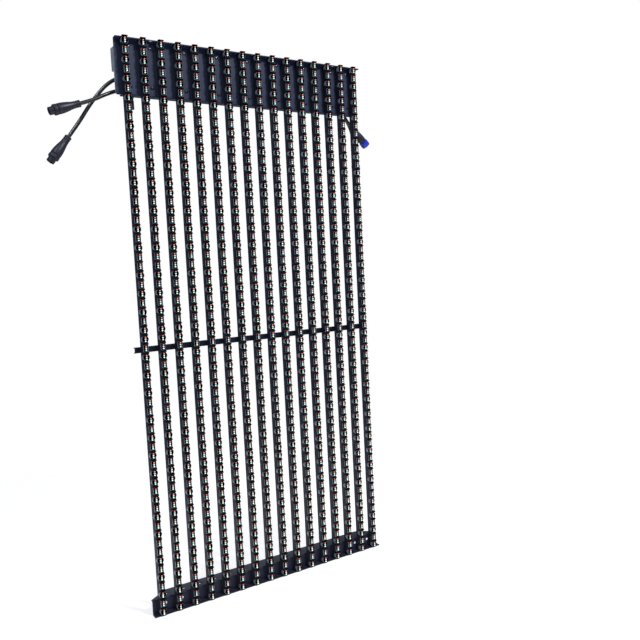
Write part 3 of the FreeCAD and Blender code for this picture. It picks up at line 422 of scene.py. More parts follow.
class Effects:
    """Builds each shared effect once, as a node group with named inputs and outputs."""

    # Noise levels between which one colour gives way to the other.
    PATCH_LOW = 0.36
    PATCH_HIGH = 0.64
    # Least upward slope, as the normal's z, on which dust settles.
    DUST_SLOPE = 0.35
    DUST_COLOR = linear(150, 146, 138)
    # Middle of the noise's range.
    NOISE_MIDDLE = 0.5
    # Input that every effect has.
    STRETCH = ("Stretch", "NodeSocketVector", (1.0, 1.0, 1.0))

    @staticmethod
    def group(effect: Effect, inputs: list[tuple], outputs: list[tuple[str, str]]) -> bpy.types.NodeTree:
        """An empty node group with its sockets.

        Args:
            effect: Which effect it holds.
            inputs: Name, socket type and first value of each input.
            outputs: Name and socket type of each output.

        Returns:
            The new group.
        """
        tree = bpy.data.node_groups.new(effect.value, "ShaderNodeTree")
        for name, kind, value in inputs:
            socket = tree.interface.new_socket(name, in_out="INPUT", socket_type=kind)
            socket.default_value = value
        for name, kind in outputs:
            tree.interface.new_socket(name, in_out="OUTPUT", socket_type=kind)
        tree.nodes.new("NodeGroupInput")
        tree.nodes.new("NodeGroupOutput")
        return tree

    @staticmethod
    def noise(tree: bpy.types.NodeTree, detail: float) -> bpy.types.Node:
        """Noise on the object's own coordinates, by the group's inputs Stretch and Scale.

        Args:
            tree: The group.
            detail: How many finer layers the noise has.

        Returns:
            The noise node.
        """
        source = tree.nodes["Group Input"]
        place = new_node(tree, "TexCoord")
        mapping = new_node(tree, "Mapping")
        noise = new_node(tree, "TexNoise", {"Detail": detail})
        wire(
            tree,
            (place, "Object", mapping, "Vector"),
            (source, "Stretch", mapping, "Scale"),
            (mapping, "Vector", noise, "Vector"),
            (source, "Scale", noise, "Scale"),
        )
        return noise

    @classmethod
    def drift(cls) -> bpy.types.NodeTree:
        """Slow change between two colours over the surface.

        Returns:
            The group.
        """
        inputs = [
            ("Color", "NodeSocketColor", (0.5, 0.5, 0.5, 1.0)),
            ("Drift", "NodeSocketColor", (0.4, 0.4, 0.4, 1.0)),
            ("Scale", "NodeSocketFloat", 20.0),
            cls.STRETCH,
        ]
        tree = cls.group(Effect.DRIFT, inputs, [("Color", "NodeSocketColor")])
        source = tree.nodes["Group Input"]
        noise = cls.noise(tree, detail=3.0)
        limits = {"From Min": cls.PATCH_LOW, "From Max": cls.PATCH_HIGH}
        spread = new_node(tree, "MapRange", limits, interpolation_type="SMOOTHSTEP")
        mix = new_node(tree, "Mix", data_type="RGBA")
        wire(
            tree,
            (noise, "Fac", spread, "Value"),
            (spread, "Result", mix, "Factor"),
            (source, "Color", mix, "A"),
            (source, "Drift", mix, "B"),
            (mix, "Result", tree.nodes["Group Output"], "Color"),
        )
        return tree

    @classmethod
    def grain(cls) -> bpy.types.NodeTree:
        """Fine relief, and the uneven roughness that goes with it.

        Returns:
            The group.
        """
        inputs = [
            ("Scale", "NodeSocketFloat", 900.0),
            cls.STRETCH,
            ("Roughness", "NodeSocketFloat", 0.5),
            ("Spread", "NodeSocketFloat", 0.2),
        ]
        outputs = [("Height", "NodeSocketFloat"), ("Roughness", "NodeSocketFloat")]
        tree = cls.group(Effect.GRAIN, inputs, outputs)
        source = tree.nodes["Group Input"]
        target = tree.nodes["Group Output"]
        noise = cls.noise(tree, detail=4.0)
        centred = new_node(tree, "Math", {1: cls.NOISE_MIDDLE}, operation="SUBTRACT")
        uneven = new_node(tree, "Math", operation="MULTIPLY_ADD")
        wire(
            tree,
            (noise, "Fac", target, "Height"),
            (noise, "Fac", centred, 0),
            (centred, "Value", uneven, 0),
            (source, "Spread", uneven, 1),
            (source, "Roughness", uneven, 2),
            (uneven, "Value", target, "Roughness"),
        )
        return tree

    @classmethod
    def dust(cls) -> bpy.types.NodeTree:
        """Thin dust on what faces up, broken up by noise.

        Returns:
            The group.
        """
        inputs = [
            ("Color", "NodeSocketColor", (0.5, 0.5, 0.5, 1.0)),
            ("Dust", "NodeSocketColor", cls.DUST_COLOR),
            ("Amount", "NodeSocketFloat", 0.2),
            ("Scale", "NodeSocketFloat", 160.0),
            cls.STRETCH,
        ]
        tree = cls.group(Effect.DUST, inputs, [("Color", "NodeSocketColor")])
        source = tree.nodes["Group Input"]
        noise = cls.noise(tree, detail=5.0)
        facing = new_node(tree, "NewGeometry")
        parts = new_node(tree, "SeparateXYZ")
        upward = new_node(tree, "MapRange", {"From Min": cls.DUST_SLOPE})
        patch = new_node(tree, "Math", operation="MULTIPLY")
        amount = new_node(tree, "Math", operation="MULTIPLY")
        mix = new_node(tree, "Mix", data_type="RGBA")
        wire(
            tree,
            (facing, "Normal", parts, "Vector"),
            (parts, "Z", upward, "Value"),
            (upward, "Result", patch, 0),
            (noise, "Fac", patch, 1),
            (patch, "Value", amount, 0),
            (source, "Amount", amount, 1),
            (amount, "Value", mix, "Factor"),
            (source, "Color", mix, "A"),
            (source, "Dust", mix, "B"),
            (mix, "Result", tree.nodes["Group Output"], "Color"),
        )
        return tree

    @classmethod
    def get(cls, effect: Effect) -> bpy.types.NodeTree:
        """The group of an effect, built when it is first asked for."""
        builders = {Effect.DRIFT: cls.drift, Effect.GRAIN: cls.grain, Effect.DUST: cls.dust}
        return bpy.data.node_groups.get(effect.value) or builders[effect]()


@dataclass(frozen=True)
class Finish:
    """How one surface looks.

    Attributes:
        name: Name of the material.
        color: Main colour, 0 to 255 sRGB.
        drift: Colour that the main one drifts to, 0 to 255 sRGB.
        drift_scale: How small the drift's patches are.
        drift_stretch: Stretch of the patches along x, y and z.
        roughness: Middle roughness.
        spread: How much the roughness varies.
        grain: Scale of the fine relief.
        grain_stretch: Stretch of the relief along x, y and z.
        relief: Depth of the relief in millimetres.
        metallic: One for bare metal.
        coat: Weight of a clear coat.
        coat_roughness: Roughness of the coat.
        specular: Specular level.
        dust: Amount of settled dust.
        glow: Strength of the surface's own light, in its main colour; on the lenses it is painted light.
        bump: How strongly the relief shades the surface.
    """

    name: str
    color: tuple[float, float, float]
    drift: tuple[float, float, float]
    drift_scale: float = 20.0
    drift_stretch: tuple[float, float, float] = (1.0, 1.0, 1.0)
    roughness: float = 0.5
    spread: float = 0.2
    grain: float = 1200.0
    grain_stretch: tuple[float, float, float] = (1.0, 1.0, 1.0)
    relief: float = 0.02
    metallic: float = 0.0
    coat: float = 0.0
    coat_roughness: float = 0.2
    specular: float = 0.5
    dust: float = 0.0
    glow: float = 0.0
    bump: float = 0.6

    def material(self) -> bpy.types.Material:
        """The finish as a material, built when it is first asked for.

        Returns:
            The material.
        """
        found = bpy.data.materials.get(self.name)
        if found:
            return found
        material = bpy.data.materials.new(self.name)
        material.use_nodes = True
        tree = material.node_tree
        shader = tree.nodes["Principled BSDF"]
        paint = new_node(tree, "Group", {
            "Color": linear(*self.color),
            "Drift": linear(*self.drift),
            "Scale": self.drift_scale,
            "Stretch": self.drift_stretch,
        }, node_tree=Effects.get(Effect.DRIFT))
        if self.dust > 0:
            dust = new_node(tree, "Group", {"Amount": self.dust}, node_tree=Effects.get(Effect.DUST))
            wire(tree, (paint, "Color", dust, "Color"))
            paint = dust
        grain = new_node(tree, "Group", {
            "Scale": self.grain,
            "Stretch": self.grain_stretch,
            "Roughness": self.roughness,
            "Spread": self.spread,
        }, node_tree=Effects.get(Effect.GRAIN))
        bump = new_node(tree, "Bump", {"Strength": self.bump, "Distance": self.relief * MM})
        wire(
            tree,
            (grain, "Height", bump, "Height"),
            (paint, "Color", shader, "Base Color"),
            (grain, "Roughness", shader, "Roughness"),
            (bump, "Normal", shader, "Normal"),
        )
        preset(shader, {
            "Metallic": self.metallic,
            "Coat Weight": self.coat,
            "Coat Roughness": self.coat_roughness,
            "Specular IOR Level": self.specular,
        })
        if self.glow > 0:
            preset(shader, {"Emission Strength": self.glow})
            wire(tree, (paint, "Color", shader, "Emission Color"))
        return material


COATED_STEEL = Finish(
    "powder coated steel", (49, 57, 82), (41, 48, 72), 9.0, (2.2, 1.0, 0.35), roughness=0.5, spread=0.25,
    grain=1500.0, relief=0.03, specular=0.25, dust=0.06,
)
# Painted shade: the foot bracket's coat is darker than the plate's, for the foot that lies in shade; its
# dust is real.
FOOT_COAT_PAINTED_SHADE = Finish(
    "foot steel with painted shade", (32, 37, 60), (25, 29, 50), 12.0, (2.2, 1.0, 0.5), roughness=0.48, spread=0.25,
    grain=1500.0, relief=0.03, specular=0.25, dust=0.1,
)
# Painted shade: the crossbar's coat is darker than the plate's, as it lies in shade between the bars.
CROSSBAR_COAT_PAINTED_SHADE = Finish(
    "crossbar steel with painted shade", (31, 33, 50), (23, 25, 40), 14.0, (0.4, 1.0, 1.0), roughness=0.55, grain=1500.0,
    relief=0.03, specular=0.12,
)
BAR_SKIN = Finish(
    "bar moulding", (35, 38, 47), (26, 28, 37), 30.0, (1.0, 1.0, 0.3), roughness=0.42, spread=0.3,
    grain=1300.0, specular=0.22, dust=0.05,
)
# Painted shade: black for the hoods and the bosses' front faces, as their undersides lie in shade.
BAR_HOOD_SHADE = Finish("bar hood painted shade", (8, 9, 14), (12, 13, 19), 60.0, roughness=0.6, specular=0.08)
# Painted shade: near-black for the insides of the wells, where shade falls in the recesses.
BAR_WELL_SHADE = Finish("bar well painted shade", (4, 4, 6), (7, 7, 10), 60.0, roughness=0.75, specular=0.05)
# Painted highlight: a pale tone on the bosses' flanks and the window lips, where light glints.
BAR_RIM_HIGHLIGHT = Finish(
    "bar rim painted highlight", (136, 140, 160), (112, 116, 137), 60.0, roughness=0.3, spread=0.1, relief=0.01
)
POTTING = Finish(
    "board potting", (14, 14, 16), (20, 20, 22), 40.0, roughness=0.3, spread=0.3, grain=300.0, relief=0.05
)
LAMP_CASE = Finish(
    "lamp case", (14, 15, 19), (22, 23, 27), 300.0, roughness=0.45, relief=0.0, specular=0.2
)
# Painted light: the lenses' glow keeps them bright in the shade of the hoods and wells.
RED_LENS = Finish(
    "red lamp lens", (246, 148, 120), (242, 122, 92), 220.0, roughness=0.22, relief=0.0, coat=0.6,
    coat_roughness=0.14, glow=0.45,
)
MINT_LENS = replace(
    RED_LENS, name="green lamp lens", color=(218, 240, 232), drift=(200, 240, 220), glow=0.5
)
PALE_LENS = replace(
    RED_LENS, name="blue lamp lens", color=(228, 248, 244), drift=(206, 248, 232), glow=0.65
)
BARE_ALUMINIUM = Finish(
    "bare aluminium", (206, 209, 207), (188, 191, 190), 12.0, (0.6, 1.0, 6.0), roughness=0.4, spread=0.25,
    grain=700.0, grain_stretch=(0.03, 1.0, 4.0), metallic=1.0, dust=0.08,
)
FOAM = Finish(
    "seal foam", (28, 28, 29), (38, 38, 39), 400.0, roughness=0.95, grain=2500.0, relief=0.15
)
DARK_STEEL = Finish(
    "blackened steel", (52, 53, 58), (40, 41, 46), 300.0, roughness=0.36, metallic=0.9, relief=0.01
)
RIVET_METAL = Finish(
    "rivet metal", (96, 98, 112), (70, 72, 86), 250.0, roughness=0.22, metallic=0.85, relief=0.01
)
SOCKET_NYLON = Finish("socket nylon", (226, 222, 210), (216, 212, 198), 60.0)
SOLDER_MASK = Finish("solder mask", (24, 96, 58), (18, 84, 50), 50.0, roughness=0.3, coat=0.4)
SPACER_BRASS = Finish("spacer brass", (206, 176, 104), (190, 158, 88), 90.0, roughness=0.28, metallic=1.0)
SUPPLY_CASE = Finish(
    "supply case", (196, 198, 198), (182, 184, 185), 20.0, (1.0, 1.0, 5.0), roughness=0.42, grain=700.0,
    grain_stretch=(0.05, 1.0, 3.0), metallic=1.0,
)
GLAND_NYLON = Finish("gland nylon", (30, 30, 36), (23, 23, 28), 80.0, roughness=0.42)
CABLE_JACKET = Finish(
    "cable jacket", (11, 11, 16), (8, 8, 12), 60.0, roughness=0.26, spread=0.1, grain=1600.0,
    relief=0.01, specular=1.0,
)
PLUG_RUBBER = Finish(
    "plug moulding", (38, 38, 52), (30, 30, 43), 60.0, roughness=0.4, grain=1800.0, specular=0.45
)
NUT_BLUE = Finish(
    "nut plastic", (34, 62, 214), (28, 50, 190), 90.0, roughness=0.26, coat=0.3, coat_roughness=0.15
)
BUFFER_RUBBER = Finish(
    "buffer rubber", (18, 18, 22), (13, 13, 16), 90.0, roughness=0.75, relief=0.04, specular=0.2
)


@dataclass
class Maker:
    """Turns surfaces into pieces that ride on a body of the frame.

    Edges sharper than the crease angle, in degrees, stay sharp in the shading.
    """

    crease: float = 35.0

    def piece(
        self,
        name: str,
        shell: Shell,
        finishes: tuple[Finish, ...],
        slot: str,
        stands_for: str,
        body: str = BODY,
    ) -> bpy.types.Object:
        """A finished piece in metres, at the frame's own place.

        Args:
            name: Name of the piece.
            shell: Its surface in millimetres.
            finishes: The finish of each finish number.
            slot: The record's material slot; not used.
            stands_for: The solid that it replaces.
            body: The body that it rides on.

        Returns:
            The new object.
        """
        mesh = bpy.data.meshes.new(name)
        faces = shell.quads.tolist() + shell.triangles.tolist()
        mesh.from_pydata((shell.points * MM).tolist(), [], faces)
        mesh.polygons.foreach_set("material_index", np.concatenate([shell.quad_tones, shell.triangle_tones]))
        for finish in finishes:
            mesh.materials.append(finish.material())
        mesh.shade_smooth()
        mesh.set_sharp_from_angle(angle=np.radians(self.crease))
        mesh.update()
        piece = bpy.data.objects.new(name, mesh)
        bpy.context.scene.collection.objects.link(piece)
        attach(piece, body)
        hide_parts(stands_for)
        LOG.info("%s: %d faces", name, len(faces))
        return piece


class Tone(Enum):
    """Finish numbers on a bar's moulding."""

    SKIN = 0
    # Painted shade in the wells, the bores and under the lips.
    WELL_SHADE = 1
    # Painted highlight on the bosses' flanks and on the lips round the windows.
    RIM_HIGHLIGHT = 2
    # Painted shade on the hoods and on the bosses' front faces.
    HOOD_SHADE = 3


@dataclass
class BarMoulding:
    """The moulding of a lamp bar: wells and windows down its front, a hood over each of them.

    Sizes are in millimetres. Depths are along y, where smaller is nearer to the viewer. The front
    part ends at the seam, and the back part laps it a little.
    """

    # Ends, back and cell pitch, from the solid's box.
    top: float
    bottom: float
    back: float
    pitch: float
    # Mask and body.
    end_gap: float = 0.3
    body_inset: float = 3.2
    half_width: float = 4.7
    front: float = -5.8
    mask_back: float = -4.3
    floor: float = -2.5
    seam: float = -1.0
    seam_lap: float = 0.2
    bevel: float = 0.25
    corner_notch: float = 1.0
    # Openings of the cells.
    well_radius: float = 5.15
    side_limit: float = 4.2
    arc_steps: int = 5
    window_half_width: float = 3.9
    window_half_height: float = 5.4
    # Ridge along each side, and the feet against the plate.
    ridge_end: float = 0.0
    ridge_slope: float = 0.25
    ridge_proud: float = 0.5
    foot_inner: float = 3.9
    foot_outer: float = 5.2
    foot_height: float = 1.2
    foot_crown: float = 0.2
    # Boss about a round well.
    boss_radius: float = 6.2
    boss_proud: float = 0.6
    boss_ease: float = 0.35
    boss_shoulder: float = 0.4
    boss_mouth: float = 0.3
    boss_root: float = 0.4
    boss_lap: float = 0.1
    boss_segments: int = 20
    # Lip round a square window.
    lip_width: float = 0.8
    lip_proud: float = 0.5
    lip_slope: float = 0.2
    lip_inset: float = 0.15
    lip_lap: float = 0.02
    lip_root: float = 0.1
    lip_depth: float = 0.4
    # Hood above each cell's middle.
    hood_half_width: float = 4.9
    hood_flat: float = 0.9
    hood_draw: float = 0.86
    hood_reach: float = 4.0
    hood_below: float = 5.95
    hood_above: float = 9.6
    hood_rise: float = 0.75
    hood_fall: float = 1.75
    hood_tip: float = 7.0
    hood_tip_half: float = 0.35
    hood_tip_ease: float = 0.25
    # Two slanted ribs on each wall, behind a boss.
    rib_width: float = 0.9
    rib_proud: float = 0.4
    rib_bed: float = 0.2
    rib_taper: float = 0.6
    rib_front: float = -0.1
    rib_front_height: float = 4.9
    rib_back_gap: float = 1.5
    rib_back_height: float = 0.7

    def row_z(self) -> np.ndarray:
        """Middle of every cell, from the top."""
        return self.top + self.end_gap - (np.arange(ROWS) + 0.5) * self.pitch

    def rows_of(self, kind: str) -> np.ndarray:
        """Shifts to the middles of all cells of one kind.

        Args:
            kind: R for round cells, S for square ones.

        Returns:
            One (0, 0, z) shift for each cell.
        """
        order = np.array(list(WINDOW_ORDER))[np.arange(ROWS) % len(WINDOW_ORDER)]
        z = self.row_z()[order == kind]
        return np.column_stack([np.zeros_like(z), np.zeros_like(z), z])

    def round_stations(self) -> np.ndarray:
        """Stations down a round well: its half width is R cos a at height R sin a.

        Returns:
            Rows of (height, half width, floor, rim).
        """
        angles = np.linspace(np.pi / 2, np.arccos(self.side_limit / self.well_radius), self.arc_steps)
        heights = self.well_radius * np.sin(angles)
        widths = self.well_radius * np.cos(angles)
        walls = np.column_stack([
            heights, widths, np.full_like(heights, self.floor), np.full_like(heights, self.front)
        ])
        edge = [heights[0], 0.0, self.front, self.front]
        middle = [heights[-1], widths[-1], self.floor, self.floor]
        upper = np.vstack([edge, walls, middle])
        return np.vstack([upper, upper[::-1] * (-1.0, 1.0, 1.0, 1.0)])

    def square_stations(self) -> np.ndarray:
        """Stations down a square window: one step in and one step out.

        Returns:
            Rows of (height, half width, floor, rim).
        """
        height = self.window_half_height
        width = self.window_half_width
        return np.array([
            (height, width, self.front, self.front),
            (height, width, self.floor, self.front),
            (-height, width, self.floor, self.front),
            (-height, width, self.front, self.front),
        ])

    def stations(self, foot: float) -> np.ndarray:
        """Stations down the whole bar: a flat one at each end and each cell's own between them.

        Args:
            foot: Height at which the bar's body ends and only its mask goes on.

        Returns:
            Rows of (height, half width, floor, rim).
        """
        cells = {"R": self.round_stations(), "S": self.square_stations()}
        flat = (0.0, self.front, self.front)
        rows = [np.array([(self.top, *flat)])]
        for row, z in enumerate(self.row_z()):
            rows.append(cells[WINDOW_ORDER[row % len(WINDOW_ORDER)]] + (z, 0.0, 0.0, 0.0))
        rows.append(np.array([(z, *flat) for z in (foot, foot - WELD * 2, self.bottom)]))
        return np.vstack(rows)

    def front_part(self) -> Shell:
        """Front of the bar: a section carried down it, whose pocket follows each opening.

        The section runs from the seam up one side, over the rim, across the pocket's floor and
        back the same way. Past the body's ends it is only as deep as the mask.

        Returns:
            The closed surface.
        """
        foot = self.bottom + self.body_inset - 2 * self.end_gap
        z, width, floor, rim = self.stations(foot).T
        beyond = (z > self.top - self.body_inset + self.end_gap) | (z < foot - WELD)
        seam = np.where(beyond, self.mask_back, self.seam)
        floor = np.where(beyond, np.minimum(floor, self.mask_back - self.bevel / 2), floor)
        side = np.full_like(z, self.half_width)
        half = np.stack([
            np.stack([side, seam], axis=-1),
            np.stack([side, rim + self.bevel], axis=-1),
            np.stack([side - self.bevel, rim], axis=-1),
            np.stack([width, rim], axis=-1),
            np.stack([width, floor], axis=-1),
        ], axis=1)
        middle = np.stack([np.zeros_like(z), floor], axis=-1)[:, None]
        section = np.concatenate([half * (-1.0, 1.0), middle, half[:, ::-1]], axis=1)
        heights = np.broadcast_to(z[:, None, None], (*section.shape[:2], 1))
        rings = np.concatenate([section, heights], axis=2)
        return lofted(rings, self.front_tones(floor, rim, section.shape[:2]))

    def front_tones(self, floor: np.ndarray, rim: np.ndarray, shape: tuple[int, int]) -> np.ndarray:
        """Finish numbers of the front: dark painted shade in the wells, plain skin between them.

        Args:
            floor: The pocket's floor at each station.
            rim: The rim at each station.
            shape: Number of stations and of points in the section.

        Returns:
            One number for each quad.
        """
        level = self.front + self.bevel
        deep = (floor > level) | (np.roll(floor, -1) > level)
        sunk = (rim > level) & (np.roll(rim, -1) > level)
        walls, bottom, rims = [3, 6], [4, 5], [2, 7]
        tones = np.full(shape, Tone.SKIN.value)
        tones[:, walls] = Tone.WELL_SHADE.value
        tones[:, bottom] = np.where(deep, Tone.WELL_SHADE.value, Tone.SKIN.value)[:, None]
        tones[:, rims] = np.where(sunk, Tone.WELL_SHADE.value, Tone.SKIN.value)[:, None]
        return tones

    def back_part(self) -> Shell:
        """Back of the bar: walls with a ridge along each side, and the feet that meet the plate.

        Returns:
            The trunk and its two feet.
        """
        w = self.half_width
        crest = w + self.ridge_proud
        start = self.seam - self.seam_lap
        trunk = [
            (w, start), (crest, start + self.ridge_slope), (crest, self.ridge_end - self.ridge_slope),
            (w, self.ridge_end), (w, self.back - self.corner_notch),
        ]
        outline = np.array(trunk + [(-x, y) for x, y in reversed(trunk)])
        z0 = self.top - self.body_inset + self.end_gap
        z1 = self.bottom + self.body_inset - 2 * self.end_gap
        rise = self.back - self.foot_height
        foot = np.array([
            (self.foot_inner, rise), (w, rise - self.foot_crown), (self.foot_outer, rise),
            (self.foot_outer, self.back), (self.foot_inner, self.back),
        ])
        strip = prism(foot, z0 - self.corner_notch, z1 + self.corner_notch)
        return together([prism(outline, z0, z1), strip, strip.mirrored_x()])

    def boss(self) -> Shell:
        """Round boss about a well, with an eased front edge.

        Returns:
            The hoop about the cell's middle.
        """
        forward = -self.front + self.boss_proud
        well = self.well_radius
        out = self.boss_radius
        loop = np.array([
            (0.0, out), (forward - self.boss_shoulder, out), (forward, out - self.boss_ease),
            (forward, well + self.boss_ease), (forward - self.boss_mouth, well),
            (self.boss_lap - self.floor, well), (0.0, well + self.boss_root),
        ])
        # Flank and front bevel carry the painted highlight, the front face the hoods' painted shade, and the
        # inner bevel and bore the wells' painted shade.
        tones = [Tone.RIM_HIGHLIGHT] * 2 + [Tone.HOOD_SHADE] + [Tone.WELL_SHADE] * 3 + [Tone.SKIN]
        ring = turned(loop, plain(self.boss_segments), np.array([tone.value for tone in tones]), wrap=True)
        return ring.placed(ORIGIN, FRONT, RIGHT)

    def window_lip(self) -> Shell:
        """Raised lip round a square window: a four-sided hoop with a low flat top.

        Returns:
            The hoop about the cell's middle.
        """
        w = self.window_half_width
        h = self.window_half_height
        crest = self.front - self.lip_proud
        levels = np.array([
            (self.lip_width, self.front + self.lip_root), (self.lip_width - self.lip_slope, crest),
            (self.lip_inset, crest), (-self.lip_lap, self.front + self.lip_depth),
        ])
        grow, depth = levels[:, :1], levels[:, 1:]
        rings = np.empty((len(levels), 4, 3))
        rings[:, :, 0] = (w + grow) * (1, 1, -1, -1)
        rings[:, :, 1] = depth
        rings[:, :, 2] = (h + grow) * (1, -1, -1, 1)
        # The lip's outer slope, top and inner slope carry the painted highlight, and the face closing it
        # underneath the wells' painted shade.
        tones = np.array([Tone.RIM_HIGHLIGHT.value] * 3 + [Tone.WELL_SHADE.value])[:, None]
        return lofted(rings, tones, wrap=True)

    def hood(self) -> Shell:
        """Hood over a cell: a wedge whose tip draws back towards its two ears.

        Its side is a row of (depth, height), carried across the bar. At the ears the depth in
        front of the mask shrinks by the draw.

        Returns:
            The hood above the cell's middle.
        """
        tip = self.front - self.hood_reach
        half_way = self.front - self.hood_reach / 2
        side = np.array([
            (self.mask_back, self.hood_below), (self.front, self.hood_below),
            (half_way, self.hood_below + self.hood_rise),
            (tip + self.hood_tip_ease, self.hood_tip - self.hood_tip_half), (tip, self.hood_tip),
            (tip + self.hood_tip_ease, self.hood_tip + self.hood_tip_half),
            (half_way, self.hood_above - self.hood_fall),
            (self.front, self.hood_above), (self.mask_back, self.hood_above),
        ])
        across = np.array([-1.0, -self.hood_flat, self.hood_flat, 1.0]) * self.hood_half_width
        draw = np.array([self.hood_draw, 1.0, 1.0, self.hood_draw])
        rings = np.empty((len(across), len(side), 3))
        rings[:, :, 0] = across[:, None]
        rings[:, :, 1] = self.front + (side[:, 0] - self.front) * draw[:, None]
        rings[:, :, 2] = side[:, 1]
        # The whole hood carries the painted shade of its underside.
        return lofted(rings, Tone.HOOD_SHADE.value)

    def rib(self, sign: float) -> Shell:
        """Slanted rib on the right wall, from a boss back to the middle of its cell.

        Args:
            sign: One for the upper rib, minus one for the lower.

        Returns:
            The closed surface.
        """
        bed = self.half_width - self.rib_bed
        crest = self.half_width + self.rib_proud
        start = np.array([self.rib_front, sign * self.rib_front_height])
        end = np.array([self.back - self.rib_back_gap, sign * self.rib_back_height])
        along = (end - start) / np.linalg.norm(end - start)
        wide = np.array([-along[1], along[0]]) * self.rib_width / 2
        narrow = wide * self.rib_taper
        rings = [
            [(bed, *(c - wide)), (crest, *(c - narrow)), (crest, *(c + narrow)), (bed, *(c + wide))]
            for c in (start, end)
        ]
        return lofted(np.array(rings))

    def shell(self) -> Shell:
        """The whole moulding about x = 0, with nothing past the top of its mask.

        Returns:
            The moulding as one surface.
        """
        ribs = together([self.rib(1.0), self.rib(-1.0)])
        both = together([ribs, ribs.mirrored_x()])
        every = np.vstack([self.rows_of("R"), self.rows_of("S")])
        whole = together([
            self.front_part(),
            self.back_part(),
            self.boss().repeated(self.rows_of("R")),
            self.window_lip().repeated(self.rows_of("S")),
            self.hood().repeated(every),
            both.repeated(self.rows_of("R")),
        ])
        points = whole.points
        points[:, 2] = np.minimum(points[:, 2], self.top)
        under_flange = points[:, 2] > self.top - self.body_inset + self.end_gap
        points[under_flange, 1] = np.minimum(points[under_flange, 1], self.mask_back)
        return whole


class Lamp(Enum):
    """Finish numbers on a lamp board."""

    RED = 0
    MINT = 1
    PALE = 2
    POTTING = 3
    CASE = 4


@dataclass
class LampBoard:
    """The potted board of a bar with its three lamps in each cell, in millimetres.

    A dome row holds the distance behind the lens's tip and a share of its half width.
    """

    low: np.ndarray
    high: np.ndarray
    row_z: np.ndarray
    pitch: float = 3.35
    half: float = 1.45
    board_front: float = -2.4
    segments: int = 8
    squareness: float = 3.2
    case_depth: float = 2.2
    dome: tuple[tuple[float, float], ...] = ((2.0, 0.84), (1.1, 0.82), (0.4, 0.7), (0.08, 0.42), (0.0, 0.15))
    dip: float = 0.25
    dip_steps: int = 7

    def lens(self, tone: int) -> Shell:
        """One lens: a rounded-square section carried forward and drawn in to a dome.

        The section is a superellipse, r = s / (|cos|^n + |sin|^n)^(1/n).

        Args:
            tone: Finish number of the dome.

        Returns:
            The lens and its case about the lamp's middle.
        """
        angles = (np.arange(self.segments) + 0.5) * 2 * np.pi / self.segments
        n = self.squareness
        reach = (np.abs(np.cos(angles)) ** n + np.abs(np.sin(angles)) ** n) ** (-1 / n)
        front = self.low[1]
        case = [(self.board_front, 1.0), (front + self.case_depth, 1.0)]
        levels = np.array(case + [(front + behind, share) for behind, share in self.dome])
        tones = np.array([Lamp.CASE.value] * len(case) + [tone] * len(self.dome))[:, None]
        rings = np.empty((len(levels), self.segments, 3))
        rings[:, :, 0] = levels[:, 1:2] * self.half * reach * np.cos(angles)
        rings[:, :, 1] = levels[:, 0:1]
        rings[:, :, 2] = levels[:, 1:2] * self.half * reach * np.sin(angles)
        return lofted(rings, tones)

    def potting(self) -> Shell:
        """The board: a block whose back dips by 1 - x^4 between its walls, as set resin does.

        Returns:
            The closed surface.
        """
        half = (self.high[0] - self.low[0]) / 2
        across = np.linspace(-1, 1, self.dip_steps)
        outline = np.vstack([
            np.column_stack([across * half, self.high[1] - self.dip * (1 - across**4)]),
            [(half, self.board_front), (-half, self.board_front)],
        ])
        return prism(outline, self.low[2], self.high[2], Lamp.POTTING.value)

    def shell(self) -> Shell:
        """The board and all its lenses about x = 0.

        Returns:
            The board as one surface.
        """
        cells = np.column_stack([np.zeros(ROWS), np.zeros(ROWS), self.row_z])
        shells = [self.potting()]
        for lamp, shift in ((Lamp.RED, 1), (Lamp.MINT, 0), (Lamp.PALE, -1)):
            shells.append(self.lens(lamp.value).repeated(cells + (0.0, 0.0, shift * self.pitch)))
        return together(shells)


@dataclass
class BarField:
    """All bars with their lamps. Every place comes from the solids' boxes."""

    maker: Maker
    skins: tuple[Finish, ...] = (BAR_SKIN, BAR_WELL_SHADE, BAR_RIM_HIGHLIGHT, BAR_HOOD_SHADE)
    lenses: tuple[Finish, ...] = (RED_LENS, MINT_LENS, PALE_LENS, POTTING, LAMP_CASE)

    def build(self) -> None:
        """Builds one bar about x = 0 and puts a copy in the place of each solid."""
        low, high = span("bar_01_housing")
        pitch = (high[2] - low[2] + 2 * BarMoulding.end_gap) / ROWS
        moulding = BarMoulding(high[2], low[2], high[1], pitch)
        board = LampBoard(*span("bar_01_lamp_board"), moulding.row_z())
        moulding_shell = moulding.shell()
        board_shell = board.shell()
        for column in range(1, COLUMNS + 1):
            bar = "bar_%02d_" % column
            low, high = span(bar + "housing")
            shift = ((low[0] + high[0]) / 2, 0.0, 0.0)
            skin = moulding_shell.moved(shift)
            lights = board_shell.moved(shift)
            self.maker.piece(bar + "moulding", skin, self.skins, "bar_moulding", bar + "housing")
            self.maker.piece(bar + "lamps", lights, self.lenses, "lamp_board", bar + "lamp_board")


